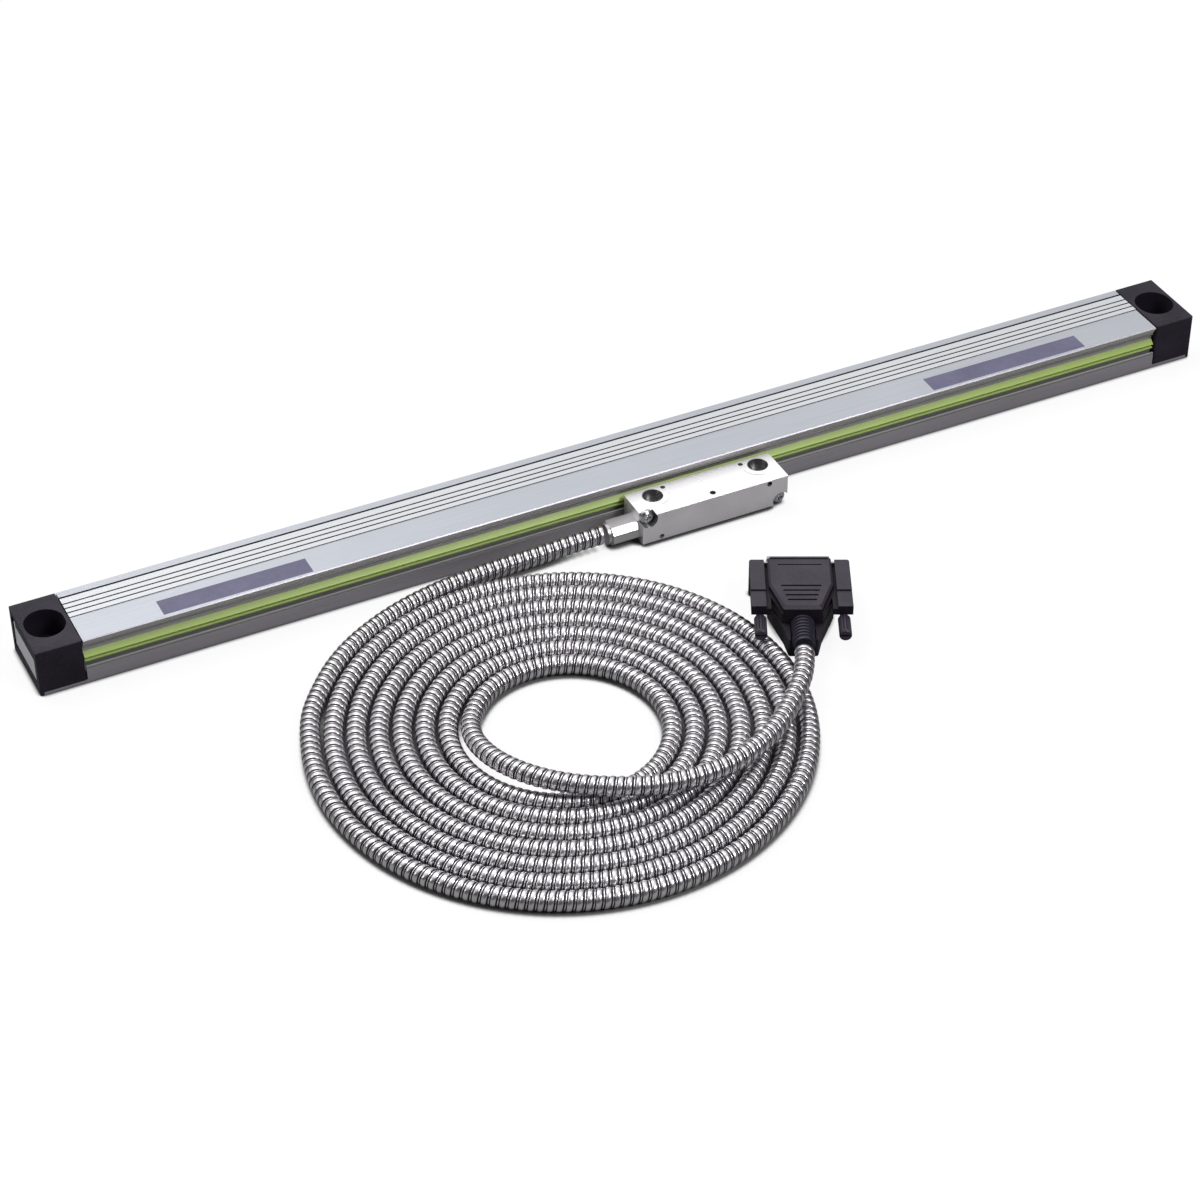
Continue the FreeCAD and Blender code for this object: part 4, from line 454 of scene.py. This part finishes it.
dress(head_nickel, "head_back_cover")
dress_by_face("head_block", (head_nickel, hole_wall_painted_shade, ground_top), head_skin)
dress(screw_steel, "corner_screws", "blade_clamp_screws", "arm_blade", "pressure_spring", "bearing_axles")
carriage_metal = finish("milled_carriage", (0.40, 0.41, 0.43), (0.55, 0.56, 0.58), (0.3, 0.45), metallic=0.9,
                        values={"Stretch": (4, 30, 4), "Fineness": 60.0, "Patches": 50.0})
dress(carriage_metal, "scanning_carriage")
bearing_steel = finish("ground_bearing_steel", (0.50, 0.51, 0.53), (0.70, 0.71, 0.73), (0.15, 0.28),
                       metallic=1.0, values={"Stretch": (30, 2, 30), "Fineness": 60.0, "Patches": 90.0})
dress(bearing_steel, "face_bearing_left", "face_bearing_right", "edge_bearing_left", "edge_bearing_right")
board_mask = finish("board_solder_mask", (0.010, 0.075, 0.030), (0.020, 0.120, 0.050), (0.3, 0.45),
                    values={"Stretch": (1, 1, 1), "Fineness": 300.0, "Patches": 120.0})
dress(board_mask, "head_circuit_board", "sensor_board")
amber_film = finish("amber_ribbon_film", (0.36, 0.16, 0.03), (0.50, 0.24, 0.05), (0.3, 0.4),
                    values={"Stretch": (60, 1, 1), "Fineness": 30.0, "Patches": 60.0})
dress(amber_film, "signal_ribbon")
dress(black_rubber, "lamp_holder")


def make_glass(name, tint):
    """Clear glass whose grating shows as very fine cross lines in its roughness."""
    material = finish(name, tint, tuple(min(1.0, c * 1.08) for c in tint), (0.03, 0.12),
                      values={"Stretch": (60, 0.5, 1), "Fineness": 80.0, "Patches": 30.0}, bump=0.0)
    material.node_tree.nodes["Principled BSDF"].inputs["Transmission Weight"].default_value = 0.9
    return material


dress(make_glass("graduated_glass", (0.80, 0.90, 0.88)), "glass_scale", "scanning_reticle")
dress(make_glass("lamp_glass", (0.92, 0.85, 0.80)), "lamp")

# Coupling: an eight-sided nickel-plated sleeve with its end ring.
# It clamps the conduit to the stub on the head's left end.

coupling_nickel = finish("polished_coupling_nickel", (0.50, 0.49, 0.50), (0.62, 0.61, 0.62), (0.28, 0.38),
                         metallic=0.9, values={"Stretch": (1, 20, 20), "Fineness": 60.0, "Patches": 90.0},
                         bump=0.04)
dress(coupling_nickel, "cable_coupling", "coupling_ring")

# Armoured cable: a stainless strip wound and hooked into itself around the signal cable.
# It leaves the head, lies in one flat coil and comes back over its turns to the plug.

conduit_radius = 0.0038
strip_pitch = 0.0032
coil_centre = Vector((-0.0888, -0.1225, 0))
coil_start_radius = 0.093
coil_step = 0.00834
coil_start_angle = math.radians(153.8)
coil_turns = 6.92
points_per_turn = 24
lead_route = [(-0.02605, -0.0259, 0.0058), (-0.038, -0.0259, 0.0058), (-0.054, -0.0254, 0.0045),
              (-0.074, -0.0249, 0.0038), (-0.098, -0.0272, 0.0038), (-0.1232, -0.0343, 0.0038),
              (-0.1476, -0.0481, 0.0038), (-0.16612, -0.06897, 0.0038)]
tail_route = [(-0.1164, -0.1011, 0.0043), (-0.1214, -0.1103, 0.0058), (-0.1234, -0.1213, 0.0079),
              (-0.1214, -0.1363, 0.0105), (-0.1132, -0.1512, 0.0119), (-0.0995, -0.1635, 0.0123),
              (-0.077, -0.1745, 0.0122), (-0.050, -0.1765, 0.0121), (-0.026, -0.1665, 0.0121),
              (-0.0085, -0.1505, 0.0121)]
plug_corner = Vector((0.0287, -0.0837, 0))
plug_turned = Matrix.Rotation(math.radians(-26.2), 3, "Z") @ Matrix.Rotation(math.radians(-4.7), 3, "X")
hood_length = 0.050
hood_middle = 0.0075
cable_end = plug_corner + plug_turned @ Vector((0, -hood_length, hood_middle))
cable_aim = plug_turned @ Vector((0, 1, 0))
straight_end = 0.013


def coil_points():
    """The turns of the flat coil, set out a little because the curve passes inside its points."""
    places = []
    count = round(coil_turns * points_per_turn)
    for k in range(count + 1):
        turn = coil_turns * k / count
        angle = coil_start_angle + 2 * math.pi * turn
        radius = (coil_start_radius - coil_step * turn) / math.cos(math.pi / points_per_turn)
        around = Vector((radius * math.cos(angle), radius * math.sin(angle), conduit_radius))
        places.append(coil_centre + around)
    return places


def cable_route():
    """The whole cable as one smooth curve with no thickness."""
    places = [Vector(p) for p in lead_route] + coil_points() + [Vector(p) for p in tail_route]
    places += [cable_end - cable_aim * straight_end, cable_end]
    data = bpy.data.curves.new("cable_route", "CURVE")
    data.dimensions = "3D"
    data.resolution_u = 12
    spline = data.splines.new("NURBS")
    spline.points.add(len(places) - 1)
    for point, place in zip(spline.points, places):
        point.co = (*place, 1)
    spline.order_u = 3
    spline.use_endpoint_u = True
    return bpy.data.objects.new("cable_route", data)


def points_of(route):
    """Points read along a curve that has no bevel, in order."""
    bpy.context.scene.collection.objects.link(route)
    bpy.context.view_layer.update()
    graph = bpy.context.evaluated_depsgraph_get()
    mesh = bpy.data.meshes.new_from_object(route.evaluated_get(graph))
    places = [v.co.copy() for v in mesh.vertices]
    bpy.data.meshes.remove(mesh)
    bpy.data.objects.remove(route)
    return places


def spaced(places, step):
    """Places a fixed step apart along a line of points."""
    out = [places[0].copy()]
    left = step
    for a, b in zip(places, places[1:]):
        run = (b - a).length
        done = 0.0
        while run - done >= left:
            done += left
            out.append(a.lerp(b, done / run))
            left = step
        left -= run - done
    return out


# One turn of the strip: how far along the turn, and the share of the conduit's radius there.

strip_sides = 20
strip_section = [(0.00, 0.845), (0.04, 0.950), (0.14, 0.990), (0.30, 1.000), (0.46, 0.990), (0.60, 0.955),
                 (0.66, 0.860), (0.74, 0.855), (0.79, 0.925), (0.90, 0.925)]
# The rows of the section that lie in the strip's grooves; they are given painted shade.
painted_shade_rows = (0, 5, 6, 7, 9)
strip_samples = len(strip_section)
steps_per_sample = 4
aim_steps = 3


def wound_strip(places):
    """The hooked strip as a helical sheet: each turn of it swells and dips once."""
    step = strip_pitch / strip_samples / steps_per_sample
    line = spaced(places, step)
    rows = len(line) // steps_per_sample
    rings = []
    for row in range(rows - strip_samples - 1):
        turn = row // strip_samples
        share, swell = strip_section[row % strip_samples]
        ring = []
        for side in range(strip_sides):
            along = (turn + share + side / strip_sides) * strip_samples * steps_per_sample
            k = min(int(along), len(line) - 2)
            centre = line[k].lerp(line[k + 1], along - k)
            ahead = (line[min(k + aim_steps, len(line) - 1)] - line[max(k - aim_steps, 0)]).normalized()
            out = ahead.cross(Vector((0, 0, 1))).normalized()
            over = out.cross(ahead)
            angle = 2 * math.pi * side / strip_sides
            ring.append(centre + (out * math.cos(angle) + over * math.sin(angle)) * conduit_radius * swell)
        rings.append(ring)
    return rings


cable_line = points_of(cable_route())
strip_rings = wound_strip(cable_line)
strip_mesh = bpy.data.meshes.new("wound_conduit")
strip_points = [p for ring in strip_rings for p in ring]
strip_faces = []
for row in range(len(strip_rings) - 1):
    for side in range(strip_sides - 1):
        a = row * strip_sides + side
        strip_faces.append((a, a + 1, a + strip_sides + 1, a + strip_sides))
    wrap = row + strip_samples
    if wrap + 1 < len(strip_rings):
        last = row * strip_sides + strip_sides - 1
        strip_faces.append((last, wrap * strip_sides, (wrap + 1) * strip_sides, last + strip_sides))
strip_mesh.from_pydata(strip_points, [], strip_faces)
strip_mesh.update()
conduit = bpy.data.objects.new("wound_conduit", strip_mesh)
bpy.context.scene.collection.objects.link(conduit)
rolled_skin = {"Stretch": (1, 1, 1), "Fineness": 400.0, "Patches": 90.0}
conduit_steel = finish("wound_stainless_strip", (0.60, 0.58, 0.61), (0.80, 0.78, 0.80), (0.26, 0.36),
                       metallic=1.0, values=rolled_skin, bump=0.03)
# The rows in the strip's grooves take a near-black skin: painted shade.
strip_groove_painted_shade = finish("strip_groove_with_painted_shade", (0.012, 0.010, 0.014), (0.035, 0.032, 0.038), (0.5, 0.7),
                     metallic=0.4, values=rolled_skin, bump=0.03)
strip_mesh.materials.append(conduit_steel)
strip_mesh.materials.append(strip_groove_painted_shade)
for face in strip_mesh.polygons:
    face.use_smooth = True
    row = face.vertices[0] // strip_sides % strip_samples
    face.material_index = 1 if row in painted_shade_rows else 0
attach(conduit, "reading_head")
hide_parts("conduit_lead", "conduit_coil", "conduit_tail")

# Plug: a hood of two moulded half shells, held together by two screws, around a 15-way connector.
# The two thumb screws sit in its ears, and a ribbed rubber boot grips the conduit.

hood_grain = {"Grain": 1400.0, "Patches": 80.0}
hood_plastic = finish("plug_hood_plastic", (0.016, 0.011, 0.022), (0.032, 0.024, 0.040), (0.42, 0.58),
                      texture=moulded_grain, values=hood_grain, bump=0.25, patchiness=0.7)
# A darker, duller copy of the hood's plastic for its walls; the darker colour is painted shade.
hood_painted_shade = finish("plug_hood_with_painted_shade", (0.006, 0.004, 0.008), (0.014, 0.010, 0.018), (0.55, 0.7),
                   texture=moulded_grain, values=hood_grain, bump=0.25, patchiness=0.7, specular=0.25)
floor_low = 0.0073
floor_high = 0.0122
floor_front = -0.001
wall_rise = 0.35


def hood_skin(centre, normal):
    """The walls, and the floor beside the raised panel, take a darker, duller skin; its darker colour is
    painted shade.
    """
    inside = plug_turned.inverted()
    place = inside @ (centre - plug_corner)
    if (inside @ normal).z < wall_rise:
        return 1
    return 1 if floor_low < place.z < floor_high and place.y < floor_front else 0


dress_by_face("plug_hood_upper", (hood_plastic, hood_painted_shade), hood_skin)
# The lower shell takes the darker copy too: painted shade.
dress(hood_painted_shade, "plug_hood_lower")
dress(hood_plastic, "thumb_screw_left", "thumb_screw_right")
boot_rubber = finish("cable_boot_rubber", (0.010, 0.009, 0.018), (0.024, 0.020, 0.036), (0.35, 0.5),
                     texture=moulded_grain, values={"Grain": 900.0, "Patches": 60.0}, bump=0.2)
dress(boot_rubber, "cable_boot")
dress(screw_steel, "plug_shell", "hood_screws")
dress(black_rubber, "plug_insulator")
contact_gold = finish("gold_plated_contact", (0.75, 0.52, 0.20), (0.90, 0.66, 0.30), (0.2, 0.3), metallic=1.0,
                      values={"Stretch": (1, 1, 1), "Fineness": 300.0, "Patches": 90.0})
dress(contact_gold, "plug_contacts")

for obj in nodes.values():
    if obj.type == "MESH" and not obj.data.materials:
        raise RuntimeError(obj.name + " has no material")
